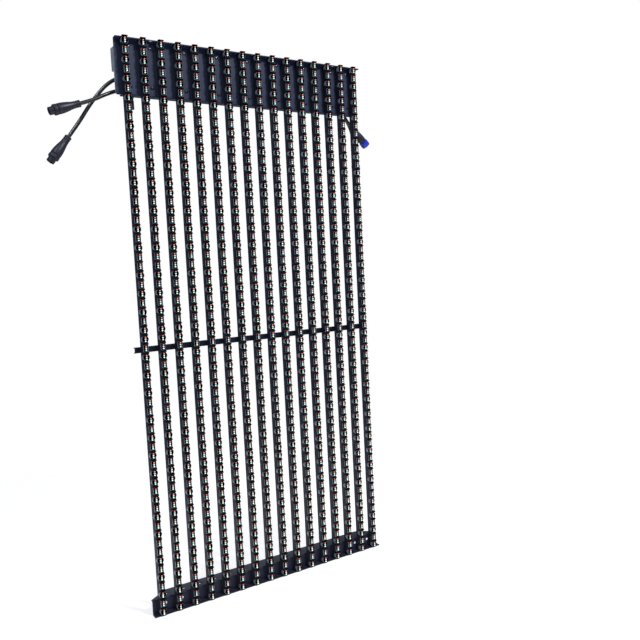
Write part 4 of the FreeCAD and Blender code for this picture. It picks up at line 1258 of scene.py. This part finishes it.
@dataclass
class Fasteners:
    """Rivets and screws, each group one piece, in millimetres.

    Rows and pitches are the drilled patterns of the plate, the lid and the flanges.
    """

    maker: Maker
    segments: int = 24
    shank: float = 1.5
    head: float = 2.75
    recess: float = 1.3
    pan_height: float = 1.6
    pan_side: float = 0.7
    pan_shoulder: float = 1.2
    pan_round: float = 0.2
    pan_crown: float = 0.8
    flush_length: float = 10.5
    flush_cone: float = 1.5
    flush_edge: float = 0.1
    flush_recess: float = 0.9
    rivet_shank: float = 1.6
    rivet_head: float = 3.0
    rivet_height: float = 1.1
    # Radii of the set tail, from its end on, and where it starts to narrow.
    rivet_tail: tuple[float, float, float] = (1.9, 2.3, 2.2)
    rivet_tail_ease: float = 0.4
    # Rows of (share of the head's height, radius), over the dome and down the mandrel hole.
    rivet_dome: tuple[tuple[float, float], ...] = (
        (0.0, 3.0), (0.3, 2.9), (0.75, 2.3), (1.0, 1.3), (1.0, 0.85), (0.55, 0.7), (0.55, 0.0),
    )
    rivet_pitch: float = 62.5
    rivet_upper: float = -12.5
    rivet_lower: float = -78.0
    rivets_each_side: int = 3
    crossbar_wall: float = 1.2
    lid_screw: float = 3.8
    lid_pitch: float = 88.0
    lid_screws_each_side: int = 2
    lid_inset: float = 4.25
    lid_step: float = -45.0

    def columns(self) -> np.ndarray:
        """Middle of each bar."""
        boxes = [span("bar_%02d_housing" % column) for column in range(1, COLUMNS + 1)]
        return np.array([(low[0] + high[0]) / 2 for low, high in boxes])

    def screw(self, outline: list[tuple[float, float]], hex_from: int) -> Shell:
        """A turned screw whose last points before the axis are a six-sided recess.

        Args:
            outline: Rows of (distance, radius), from the shank's tip to the recess's floor.
            hex_from: First row of the recess.

        Returns:
            The surface about its own z.
        """
        profile = np.array(outline)
        factors = np.ones((len(profile), self.segments))
        factors[hex_from:] = hexagonal(self.segments)
        return turned(profile, factors)

    def pan_screw(self, length: float) -> Shell:
        """Pan-head screw with its seat at z = 0 and its head towards +z.

        Args:
            length: Length under the head.

        Returns:
            The surface about its own z.
        """
        top = self.pan_height
        outline = [
            (-length, 0.0), (-length, self.shank), (0.0, self.shank), (0.0, self.head),
            (self.pan_side, self.head), (self.pan_shoulder, self.head - self.pan_round),
            (top, self.head - self.pan_crown),
            (top, self.recess), (self.pan_side, self.recess), (self.pan_side, 0.0),
        ]
        return self.screw(outline, 7)

    def flush_screw(self) -> Shell:
        """Countersunk screw with its head's face at z = 0 and its shank towards -z.

        Returns:
            The surface about its own z.
        """
        length = self.flush_length
        outline = [
            (-length, 0.0), (-length, self.shank), (-self.flush_cone, self.shank),
            (-self.flush_edge, self.head), (0.0, self.head - self.flush_edge),
            (0.0, self.recess), (-self.flush_recess, self.recess), (-self.flush_recess, 0.0),
        ]
        return self.screw(outline, 5)

    def rivet(self, grip: float, tail: float, tone: int) -> Shell:
        """Blind rivet: a low domed head with its mandrel hole, a shank and a tail.

        Args:
            grip: Thickness of the sheets that it holds.
            tail: Length of its tail.
            tone: Finish number of its faces.

        Returns:
            The surface, its head towards +z.
        """
        end, bulge, neck = self.rivet_tail
        behind = [
            (-grip - tail, 0.0), (-grip - tail, end), (-grip - self.rivet_tail_ease, bulge), (-grip, neck),
            (-grip, self.rivet_shank), (0.0, self.rivet_shank),
        ]
        dome = np.array(self.rivet_dome) * (self.rivet_height, 1.0)
        return turned(np.vstack([behind, dome]), plain(self.segments), tone)

    def rivets(self) -> None:
        """Rivets through the plate, in two rows."""
        low, high = span("panel_rivets")
        plate_low, _ = span("rear_box")
        seat = low[1] + self.rivet_height
        grip = 2 * (plate_low[1] - seat)
        tail = high[1] - seat - grip
        steps = np.arange(-self.rivets_each_side, self.rivets_each_side + 1) * self.rivet_pitch
        ends = [low[0] + self.rivet_head, high[0] - self.rivet_head]
        rows = []
        # The upper row takes the rivet metal and the lower row the darker steel, so the lower rivets show
        # darker.
        for tone, z in enumerate((self.rivet_upper, self.rivet_lower)):
            one = self.rivet(grip, tail, tone).placed(ORIGIN, FRONT, RIGHT)
            rows.append(one.repeated(np.array([(x, seat, z) for x in (*steps, *ends)])))
        metals = (RIVET_METAL, DARK_STEEL)
        self.maker.piece("rivets", together(rows), metals, "bare_steel", "panel_rivets")

    def crossing_screws(self) -> Shell:
        """Pan-head screws through the crossbar's web into every bar.

        Returns:
            The screws as one surface.
        """
        low, high = span("crossbar")
        tips, _ = span("pan_head_screws")
        seat = low[1] + self.crossbar_wall
        z = (low[2] + high[2]) / 2
        one = self.pan_screw(seat - tips[1]).placed(ORIGIN, BACK, RIGHT)
        return one.repeated(np.array([(x, seat, z) for x in self.columns()]))

    def lid_screws(self) -> Shell:
        """Pan-head screws round the lid: two rows, and one on each of its stepped ends.

        Returns:
            The screws as one surface.
        """
        low, high = span("rear_lid")
        seat = high[1]
        steps = np.arange(-self.lid_screws_each_side, self.lid_screws_each_side + 1) * self.lid_pitch
        rows = (high[2] - self.lid_inset, low[2] + self.lid_inset)
        places = [(x, seat, row) for x in steps for row in rows]
        for x in (low[0] + self.lid_inset, high[0] - self.lid_inset):
            places.append((x, seat, (high[2] + self.lid_step) / 2))
        one = self.pan_screw(self.lid_screw).placed(ORIGIN, BACK, RIGHT)
        return one.repeated(np.array(places))

    def pan_heads(self) -> None:
        """Screws through the crossbar and round the lid."""
        shell = together([self.crossing_screws(), self.lid_screws()])
        self.maker.piece("pan_screws", shell, (DARK_STEEL,), "blackened_steel", "pan_head_screws")

    def bar_ends(self) -> None:
        """Flush screws through the two flanges into the bars' ends."""
        low, high = span("bar_end_screws")
        y = (low[1] + high[1]) / 2
        one = self.flush_screw()
        upper = one.repeated(np.array([(x, y, high[2]) for x in self.columns()]))
        turned_over = one.placed(ORIGIN, DOWN, RIGHT)
        lower = turned_over.repeated(np.array([(x, y, low[2]) for x in self.columns()]))
        shell = together([upper, lower])
        self.maker.piece("end_screws", shell, (DARK_STEEL,), "blackened_steel", "bar_end_screws")

    def build(self) -> None:
        """All groups."""
        self.rivets()
        self.pan_heads()
        self.bar_ends()


@dataclass
class Glands:
    """The four cable glands: a hexagon, a fluted dome and a thread through the box's wall.

    Sizes are in millimetres. The wall is at z = 0 and the dome's mouth at the far end.
    """

    maker: Maker
    segments: int = 48
    hex_radius: float = 6.7
    hex_length: float = 5.0
    hex_ease: float = 0.4
    hex_foot: float = 0.3
    hex_shoulder: float = 0.5
    dome_radius: float = 5.6
    dome_length: float = 6.0
    # Length and radius lost where the dome leaves its flutes.
    dome_taper: tuple[float, float] = (4.2, 0.35)
    flute_length: float = 2.4
    flutes: int = 12
    flute_depth: float = 0.05
    flute_sharpness: float = 2.0
    mouth: float = 4.25
    # Length before the end and radius added where the mouth's rounding starts, and its last loss.
    mouth_round: tuple[float, float] = (0.5, 0.25)
    mouth_edge: float = 0.1
    mouth_depth: float = 1.2
    bore: float = 3.3
    thread: float = 4.9
    thread_length: float = 6.0

    def shell(self) -> Shell:
        """One gland, turned about its own z.

        Returns:
            The closed surface.
        """
        h = self.hex_length
        end = h + self.dome_length
        stem = [(-self.thread_length, 0.0), (-self.thread_length, self.thread), (0.0, self.thread)]
        hexagon = [
            (0.0, self.hex_radius - self.hex_foot), (self.hex_ease, self.hex_radius),
            (h - self.hex_ease, self.hex_radius), (h, self.hex_radius - self.hex_shoulder),
        ]
        run, loss = self.dome_taper
        fluting = [
            (h, self.dome_radius), (h + self.flute_length, self.dome_radius),
            (h + run, self.dome_radius - loss),
        ]
        before, gain = self.mouth_round
        mouth = [
            (end - before, self.mouth + gain), (end, self.mouth - self.mouth_edge), (end, self.bore),
            (end - self.mouth_depth, self.bore), (end - self.mouth_depth, 0.0),
        ]
        profile = np.array(stem + hexagon + fluting + mouth)
        factors = np.ones((len(profile), self.segments))
        first = len(stem)
        last = first + len(hexagon)
        factors[first:last] = hexagonal(self.segments)
        waves = fluted(self.segments, self.flutes, self.flute_depth, self.flute_sharpness)
        factors[last:last + len(fluting)] = waves
        return turned(profile, factors)

    def build(self, exits: list[tuple[Vector, float]]) -> None:
        """One piece with a gland behind each cable's exit.

        Args:
            exits: Each cable's first point, and the side that it points to.
        """
        reach = self.hex_length + self.dome_length
        shells = []
        for point, side in exits:
            start = point - RIGHT * side * reach
            shells.append(self.shell().placed(start, RIGHT * side, BACK))
        self.maker.piece("glands", together(shells), (GLAND_NYLON,), "gland_nylon", "cable_glands")


class FarEnd(Enum):
    """What a lead ends in."""

    PLUG = "plug"
    SOCKET = "connector"


@dataclass
class Lead:
    """One cable with what is on its end, along given points, in millimetres.

    An outline's rows are (distance from the cable's end, radius) and go on from the collar's.
    """

    name: str
    end: FarEnd
    route: list[tuple[float, float, float]]
    length: float
    nut_body: str = ""
    radius: float = 3.25
    segments: int = 72
    collar_radius: float = 5.9
    collar_length: float = 11.0
    rib_depth: float = 0.8
    rib_gap: float = 1.5
    plug_ease: float = 0.5
    plug_body: tuple[tuple[float, float], ...] = (
        (14.0, 6.15), (22.0, 7.7), (29.0, 8.65), (33.0, 8.9), (38.0, 8.9), (38.0, 7.4), (39.6, 7.4),
    )
    plug_ring: tuple[tuple[float, float], ...] = ((39.6, 9.2), (45.0, 9.2))
    plug_nose: tuple[tuple[float, float], ...] = (
        (45.0, 6.7), (53.0, 6.7), (53.0, 5.2), (49.4, 5.2), (49.4, 0.0),
    )
    grip_run: tuple[float, float] = (15.0, 36.0)
    grip_flat: float = 0.02
    ring_notches: int = 18
    ring_notch: float = 0.035
    ring_sharpness: float = 2.0
    # The notches' start and end past the ring's two edges, and their floor below its face.
    ring_margins: tuple[float, float, float] = (0.2, 0.1, 0.8)
    pin_circle: float = 2.6
    pin: tuple[tuple[float, float], ...] = ((49.2, 0.0), (49.2, 0.5), (51.0, 0.5), (51.3, 0.3), (51.3, 0.0))
    pin_segments: int = 12
    socket_ease: float = 0.4
    socket_body: tuple[tuple[float, float], ...] = (
        (14.0, 6.1), (22.0, 7.2), (29.0, 7.8), (38.0, 7.8), (38.0, 5.3), (41.0, 5.3), (41.0, 7.0),
        (43.0, 7.0), (43.0, 6.2), (46.9, 6.2), (46.9, 0.0),
    )
    nut_start: tuple[tuple[float, float], ...] = ((38.3, 5.6), (38.3, 8.1), (38.9, 8.8))
    nut_grip: tuple[tuple[float, float], ...] = (
        (39.6, 9.0), (41.0, 9.0), (44.0, 9.0), (48.4, 9.0), (49.4, 8.85),
    )
    nut_bore: tuple[tuple[float, float], ...] = (
        (50.3, 8.3), (50.3, 7.9), (49.8, 7.6), (40.7, 7.6), (40.7, 5.6),
    )
    nut_segments: int = 96
    nut_flutes: int = 12
    nut_flute: float = 0.055
    nut_sharpness: float = 3.0

    def tip(self) -> tuple[Vector, Vector]:
        """Last point of the route, and the direction of its last run."""
        last = Vector(self.route[-1])
        return last, (last - Vector(self.route[-2])).normalized()

    def cable(self) -> bpy.types.Object:
        """The cable: a smooth spline that the route's points steer.

        Returns:
            The cable's object.
        """
        curve = bpy.data.curves.new(self.name, "CURVE")
        curve.dimensions = "3D"
        spline = curve.splines.new("NURBS")
        spline.points.add(len(self.route) - 1)
        flat = np.ones((len(self.route), 4))
        flat[:, :3] = np.array(self.route) * MM
        spline.points.foreach_set("co", flat.ravel())
        spline.order_u = 3
        spline.use_endpoint_u = True
        spline.resolution_u = 16
        curve.bevel_depth = self.radius * MM
        curve.bevel_resolution = 6
        curve.use_fill_caps = True
        curve.materials.append(CABLE_JACKET.material())
        piece = bpy.data.objects.new(self.name + "_jacket", curve)
        bpy.context.scene.collection.objects.link(piece)
        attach(piece, BODY)
        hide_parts(self.name + "_cable")
        return piece

    def collar(self) -> list[tuple[float, float]]:
        """Grip collar at the cable's end: three bands with two grooves between them.

        Returns:
            Rows of (distance, radius), from the axis on.
        """
        r = self.collar_radius
        low = r - self.rib_depth
        half = self.rib_gap / 2
        points = [(0.0, 0.0), (0.0, r)]
        for groove in (1, 2):
            s = groove * self.collar_length / 3
            points += [(s - half, r), (s - half, low), (s + half, low), (s + half, r)]
        points.append((self.collar_length, r))
        return points

    def plug(self) -> Shell:
        """Plug: collar, taper, body, groove, notched ring, and a hollow nose with its contacts.

        The body's factor is 1 - f (1 + cos 2a) / 2, which flattens its two sides a little.

        Returns:
            The plug about its own z, its contacts with finish number one.
        """
        outline = [*self.collar(), *self.plug_body, *self.plug_ring, *self.plug_nose]
        profile = eased(outline, self.plug_ease)
        along, radius = profile.T
        factors = np.ones((len(profile), self.segments))
        (ring_start, ring_radius), (ring_end, _) = self.plug_ring
        first, last, floor = self.ring_margins
        ring = (along > ring_start + first) & (along < ring_end + last) & (radius > ring_radius - floor)
        factors[ring] = fluted(self.segments, self.ring_notches, self.ring_notch, self.ring_sharpness)
        grip = (along > self.grip_run[0]) & (along < self.grip_run[1])
        factors[grip] = fluted(self.segments, 2, self.grip_flat)
        body = turned(profile, factors)
        pin = turned(np.array(self.pin), plain(self.pin_segments), 1)
        angles = np.radians([45.0, 135.0, 225.0, 315.0])
        places = np.column_stack([np.cos(angles), np.sin(angles), np.zeros(4)]) * self.pin_circle
        return together([body, pin.repeated(places)])

    def socket(self) -> Shell:
        """Socket: collar, taper, body, and the neck, stop and nose that hold the nut.

        Returns:
            The socket about its own z.
        """
        outline = [*self.collar(), *self.socket_body]
        return turned(eased(outline, self.socket_ease), plain(self.segments))

    def nut(self) -> Shell:
        """Coupling nut: a ribbed ring whose bore narrows to a seat behind the stop.

        Returns:
            The nut about its own z.
        """
        loop = np.array([*self.nut_start, *self.nut_grip, *self.nut_bore])
        factors = np.ones((len(loop), self.nut_segments))
        first = len(self.nut_start)
        waves = fluted(self.nut_segments, self.nut_flutes, self.nut_flute, self.nut_sharpness)
        factors[first:first + len(self.nut_grip)] = waves
        return turned(loop, factors, wrap=True)

    def build(self, maker: Maker) -> None:
        """The cable, its end and, on a socket, its nut.

        Args:
            maker: Turns the surfaces into pieces.
        """
        cable = self.cable()
        start, axis = self.tip()
        if self.end is FarEnd.PLUG:
            shell = self.plug().placed(start, axis, BACK)
            finishes = (PLUG_RUBBER, SPACER_BRASS)
            node = self.name + "_plug"
            pieces = [maker.piece(node + "_body", shell, finishes, "plug_moulding", node)]
        else:
            shell = self.socket().placed(start, axis, BACK)
            ring = self.nut().placed(start, axis, BACK)
            node = self.name + "_socket"
            nut_node = self.name + "_nut"
            pieces = [
                maker.piece(node + "_body", shell, (PLUG_RUBBER,), "plug_moulding", node),
                maker.piece(nut_node + "_ring", ring, (NUT_BLUE,), "nut_plastic", nut_node, self.nut_body),
            ]


LEADS = [
    Lead("left_upper", FarEnd.PLUG, [
        (-207.0, 28.0, -55.0), (-225.0, 28.0, -55.0), (-242.5, 28.8, -62.0), (-258.5, 30.5, -72.5),
        (-273.0, 33.0, -88.5), (-290.0, 34.0, -110.5), (-309.7, 34.3, -140.9), (-326.8, 34.3, -163.1),
    ], 169.5),
    Lead("left_lower", FarEnd.PLUG, [
        (-207.0, 28.0, -78.75), (-226.0, 28.0, -78.75), (-247.0, 27.0, -83.6), (-266.5, 25.0, -92.3),
        (-287.1, 24.2, -102.9), (-307.0, 24.0, -109.5),
    ], 106.0),
    Lead("right_front", FarEnd.SOCKET, [
        (207.0, 28.0, -78.75), (216.0, 28.0, -78.75), (225.0, 28.0, -84.2), (232.5, 28.0, -92.0),
        (239.8, 28.0, -102.4), (249.7, 28.0, -112.3),
    ], 56.7, "front_nut"),
    Lead("right_rear", FarEnd.SOCKET, [
        (207.0, 39.9, -78.75), (219.0, 39.9, -78.75), (234.0, 40.4, -85.5), (246.0, 40.6, -96.0),
        (255.0, 40.9, -112.0), (260.5, 41.2, -129.5), (262.0, 41.4, -148.0),
    ], 99.1, "rear_nut"),
]


@dataclass
class Buffer:
    """Rubber stop under the plate's fold: a waisted body on a neck with a barbed head.

    Sizes are in millimetres. Waist rows hold the distance below the neck and the radius lost.
    """

    maker: Maker
    segments: int = 32
    ease: float = 0.4
    stem: float = 2.7
    neck: float = 2.0
    barb: float = 3.6
    barb_tip: float = 2.6
    barb_length: float = 1.2
    foot_ease: tuple[float, float] = (0.8, 0.3)
    waist: tuple[tuple[float, float], ...] = ((8.0, 0.0), (5.0, 0.7), (3.0, 0.0), (0.0, 0.0))

    def build(self) -> None:
        """The stop in its solid's place."""
        low, high = span("rubber_buffer")
        radius = (high[0] - low[0]) / 2
        length = high[2] - low[2]
        shoulder = length - self.stem
        rise, inset = self.foot_ease
        foot = [(0.0, 0.0), (0.0, radius - inset), (rise, radius)]
        body = [(shoulder - below, radius - lost) for below, lost in self.waist]
        barb_start = length - self.barb_length
        head = [
            (shoulder, self.neck), (barb_start, self.neck), (barb_start, self.barb),
            (length, self.barb_tip), (length, 0.0),
        ]
        start = Vector(((low[0] + high[0]) / 2, (low[1] + high[1]) / 2, low[2]))
        shell = turned(eased(foot + body + head, self.ease), plain(self.segments)).placed(start, UP, RIGHT)
        self.maker.piece("buffer", shell, (BUFFER_RUBBER,), "buffer_rubber", "rubber_buffer")


SOLID_FINISHES = {
    "top_panel": COATED_STEEL,
    "bottom_bracket": FOOT_COAT_PAINTED_SHADE,
    "crossbar": CROSSBAR_COAT_PAINTED_SHADE,
    "rear_box": BARE_ALUMINIUM,
    "rear_lid": BARE_ALUMINIUM,
    "left_end_angle": BARE_ALUMINIUM,
    "right_end_angle": BARE_ALUMINIUM,
    "lid_seal": FOAM,
    "bar_sockets": SOCKET_NYLON,
    "distribution_board": SOLDER_MASK,
    "receiving_card": SOLDER_MASK,
    "card_spacers": SPACER_BRASS,
    "power_supply": SUPPLY_CASE,
}


def dress_solids() -> None:
    """Gives each solid that stays its finish."""
    for node, finish in SOLID_FINISHES.items():
        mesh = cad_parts[node].data
        mesh.materials.clear()
        mesh.materials.append(finish.material())


@dataclass(frozen=True)
class Softbox:
    """A soft square lamp: its place and side in metres, and its power in watts."""

    name: str
    place: tuple[float, float, float]
    side: float
    power: float


@dataclass
class Studio:
    """Camera, floor, world and lamps, in metres and watts.

    The floor is solid up to its near distance from the middle and gone from its far distance on.
    """

    eye: tuple[float, float, float] = (-0.63771, -1.17293, -0.39555)
    forward: tuple[float, float, float] = (0.5453088, 0.8346955, -0.0769528)
    up: tuple[float, float, float] = (0.0834004, 0.0373214, 0.9958170)
    lens: float = 39.485
    sensor: float = 36.0
    aim: tuple[float, float, float] = (0.0, 0.0, -0.5)
    floor_drop: float = 0.0006
    floor_half: float = 4.0
    floor_near: float = 0.45
    floor_far: float = 1.4
    floor_glow: tuple[float, float, float, float] = (1.0, 0.95, 0.88, 1.0)
    floor_strength: float = 0.54
    floor_color: tuple[float, float, float] = (250, 250, 251)
    floor_roughness: float = 0.9
    floor_specular: float = 0.1
    fill: float = 0.33
    sky: tuple[float, float, float, float] = (0.66, 0.79, 1.0, 1.0)
    lamps: tuple[Softbox, ...] = (
        Softbox("key lamp", (0.64, -1.5, 1.05), 0.42, 30.0),
        Softbox("side lamp", (-1.35, -1.15, 1.5), 0.35, 13.0),
        Softbox("back lamp", (0.6, 2.4, 1.0), 2.0, 12.0),
    )

    def camera(self) -> None:
        """The camera at the photograph's place."""
        forward = Vector(self.forward).normalized()
        up = Vector(self.up).normalized()
        right = forward.cross(up).normalized()
        data = bpy.data.cameras.new("camera")
        data.lens = self.lens
        data.sensor_width = self.sensor
        data.clip_start = 0.01
        camera = bpy.data.objects.new("camera", data)
        turn = Matrix((right, right.cross(forward), -forward)).transposed()
        camera.matrix_world = Matrix.Translation(Vector(self.eye)) @ turn.to_4x4()
        bpy.context.scene.collection.objects.link(camera)
        bpy.context.scene.camera = camera

    def floor(self, low: float) -> None:
        """Pale floor just under the object, which fades into the white backdrop further off.

        Args:
            low: Height of the object's lowest point, in metres.
        """
        mesh = bpy.data.meshes.new("floor")
        h = self.floor_half
        z = low - self.floor_drop
        mesh.from_pydata([(-h, -h, z), (h, -h, z), (h, h, z), (-h, h, z)], [], [(0, 1, 2, 3)])
        material = bpy.data.materials.new("pale floor")
        material.use_nodes = True
        tree = material.node_tree
        shader = tree.nodes["Principled BSDF"]
        preset(shader, {
            "Base Color": linear(*self.floor_color),
            "Roughness": self.floor_roughness,
            "Specular IOR Level": self.floor_specular,
            "Emission Color": self.floor_glow,
            "Emission Strength": self.floor_strength,
        })
        place = new_node(tree, "TexCoord")
        flat = new_node(tree, "VectorMath", {1: (1.0, 1.0, 0.0)}, operation="MULTIPLY")
        far = new_node(tree, "VectorMath", operation="LENGTH")
        limits = {"From Min": self.floor_near, "From Max": self.floor_far}
        fade = new_node(tree, "MapRange", limits, interpolation_type="SMOOTHSTEP")
        clear = new_node(tree, "BsdfTransparent")
        mix = new_node(tree, "MixShader")
        wire(
            tree,
            (place, "Object", flat, 0),
            (flat, "Vector", far, 0),
            (far, "Value", fade, "Value"),
            (fade, "Result", mix, "Fac"),
            (shader, "BSDF", mix, 1),
            (clear, "BSDF", mix, 2),
            (mix, "Shader", tree.nodes["Material Output"], "Surface"),
        )
        mesh.materials.append(material)
        floor = bpy.data.objects.new("floor", mesh)
        bpy.context.scene.collection.objects.link(floor)
        floor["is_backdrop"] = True

    def world(self) -> None:
        """Even light from all round, and plain white behind the object."""
        world = bpy.data.worlds.new("studio")
        world.use_nodes = True
        bpy.context.scene.world = world
        tree = world.node_tree
        output = tree.nodes["World Output"]
        light = tree.nodes["Background"]
        preset(light, {"Strength": self.fill, "Color": self.sky})
        backdrop = new_node(tree, "Background", {"Color": (1.0, 1.0, 1.0, 1.0)})
        rays = new_node(tree, "LightPath")
        seen = new_node(tree, "Math", operation="MAXIMUM")
        mix = new_node(tree, "MixShader")
        wire(
            tree,
            (rays, "Is Camera Ray", seen, 0),
            (rays, "Is Transmission Ray", seen, 1),
            (seen, "Value", mix, "Fac"),
            (light, "Background", mix, 1),
            (backdrop, "Background", mix, 2),
            (mix, "Shader", output, "Surface"),
        )

    def lamp(self, box: Softbox) -> None:
        """A lamp that looks at the middle of the panel.

        Args:
            box: Which lamp.
        """
        data = bpy.data.lights.new(box.name, "AREA")
        data.shape = "SQUARE"
        data.size = box.side
        data.energy = box.power
        lamp = bpy.data.objects.new(box.name, data)
        sight = Vector(self.aim) - Vector(box.place)
        lamp.rotation_euler = sight.to_track_quat("-Z", "Y").to_euler()
        lamp.location = box.place
        bpy.context.scene.collection.objects.link(lamp)

    def build(self, low: float) -> None:
        """The whole studio.

        Args:
            low: Height of the object's lowest point, in metres.
        """
        self.camera()
        self.floor(low)
        self.world()
        for box in self.lamps:
            self.lamp(box)


def corners() -> list[list[float]]:
    """The shown object's lowest and highest corners as plain numbers."""
    return [list(corner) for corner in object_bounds()]


def main() -> None:
    """Builds every piece in order."""
    logging.basicConfig(level=logging.INFO, format="%(message)s")
    scene = bpy.context.scene
    scene.view_settings.view_transform = "Standard"
    cad_box = corners()
    maker = Maker()
    Studio().build(cad_box[0][2])
    for lead in LEADS:
        lead.build(maker)
    BarField(maker).build()
    Fasteners(maker).build()
    Glands(maker).build([(Vector(lead.route[0]), np.sign(lead.route[0][0])) for lead in LEADS])
    Buffer(maker).build()
    dress_solids()


if __name__ == "__main__":
    main()
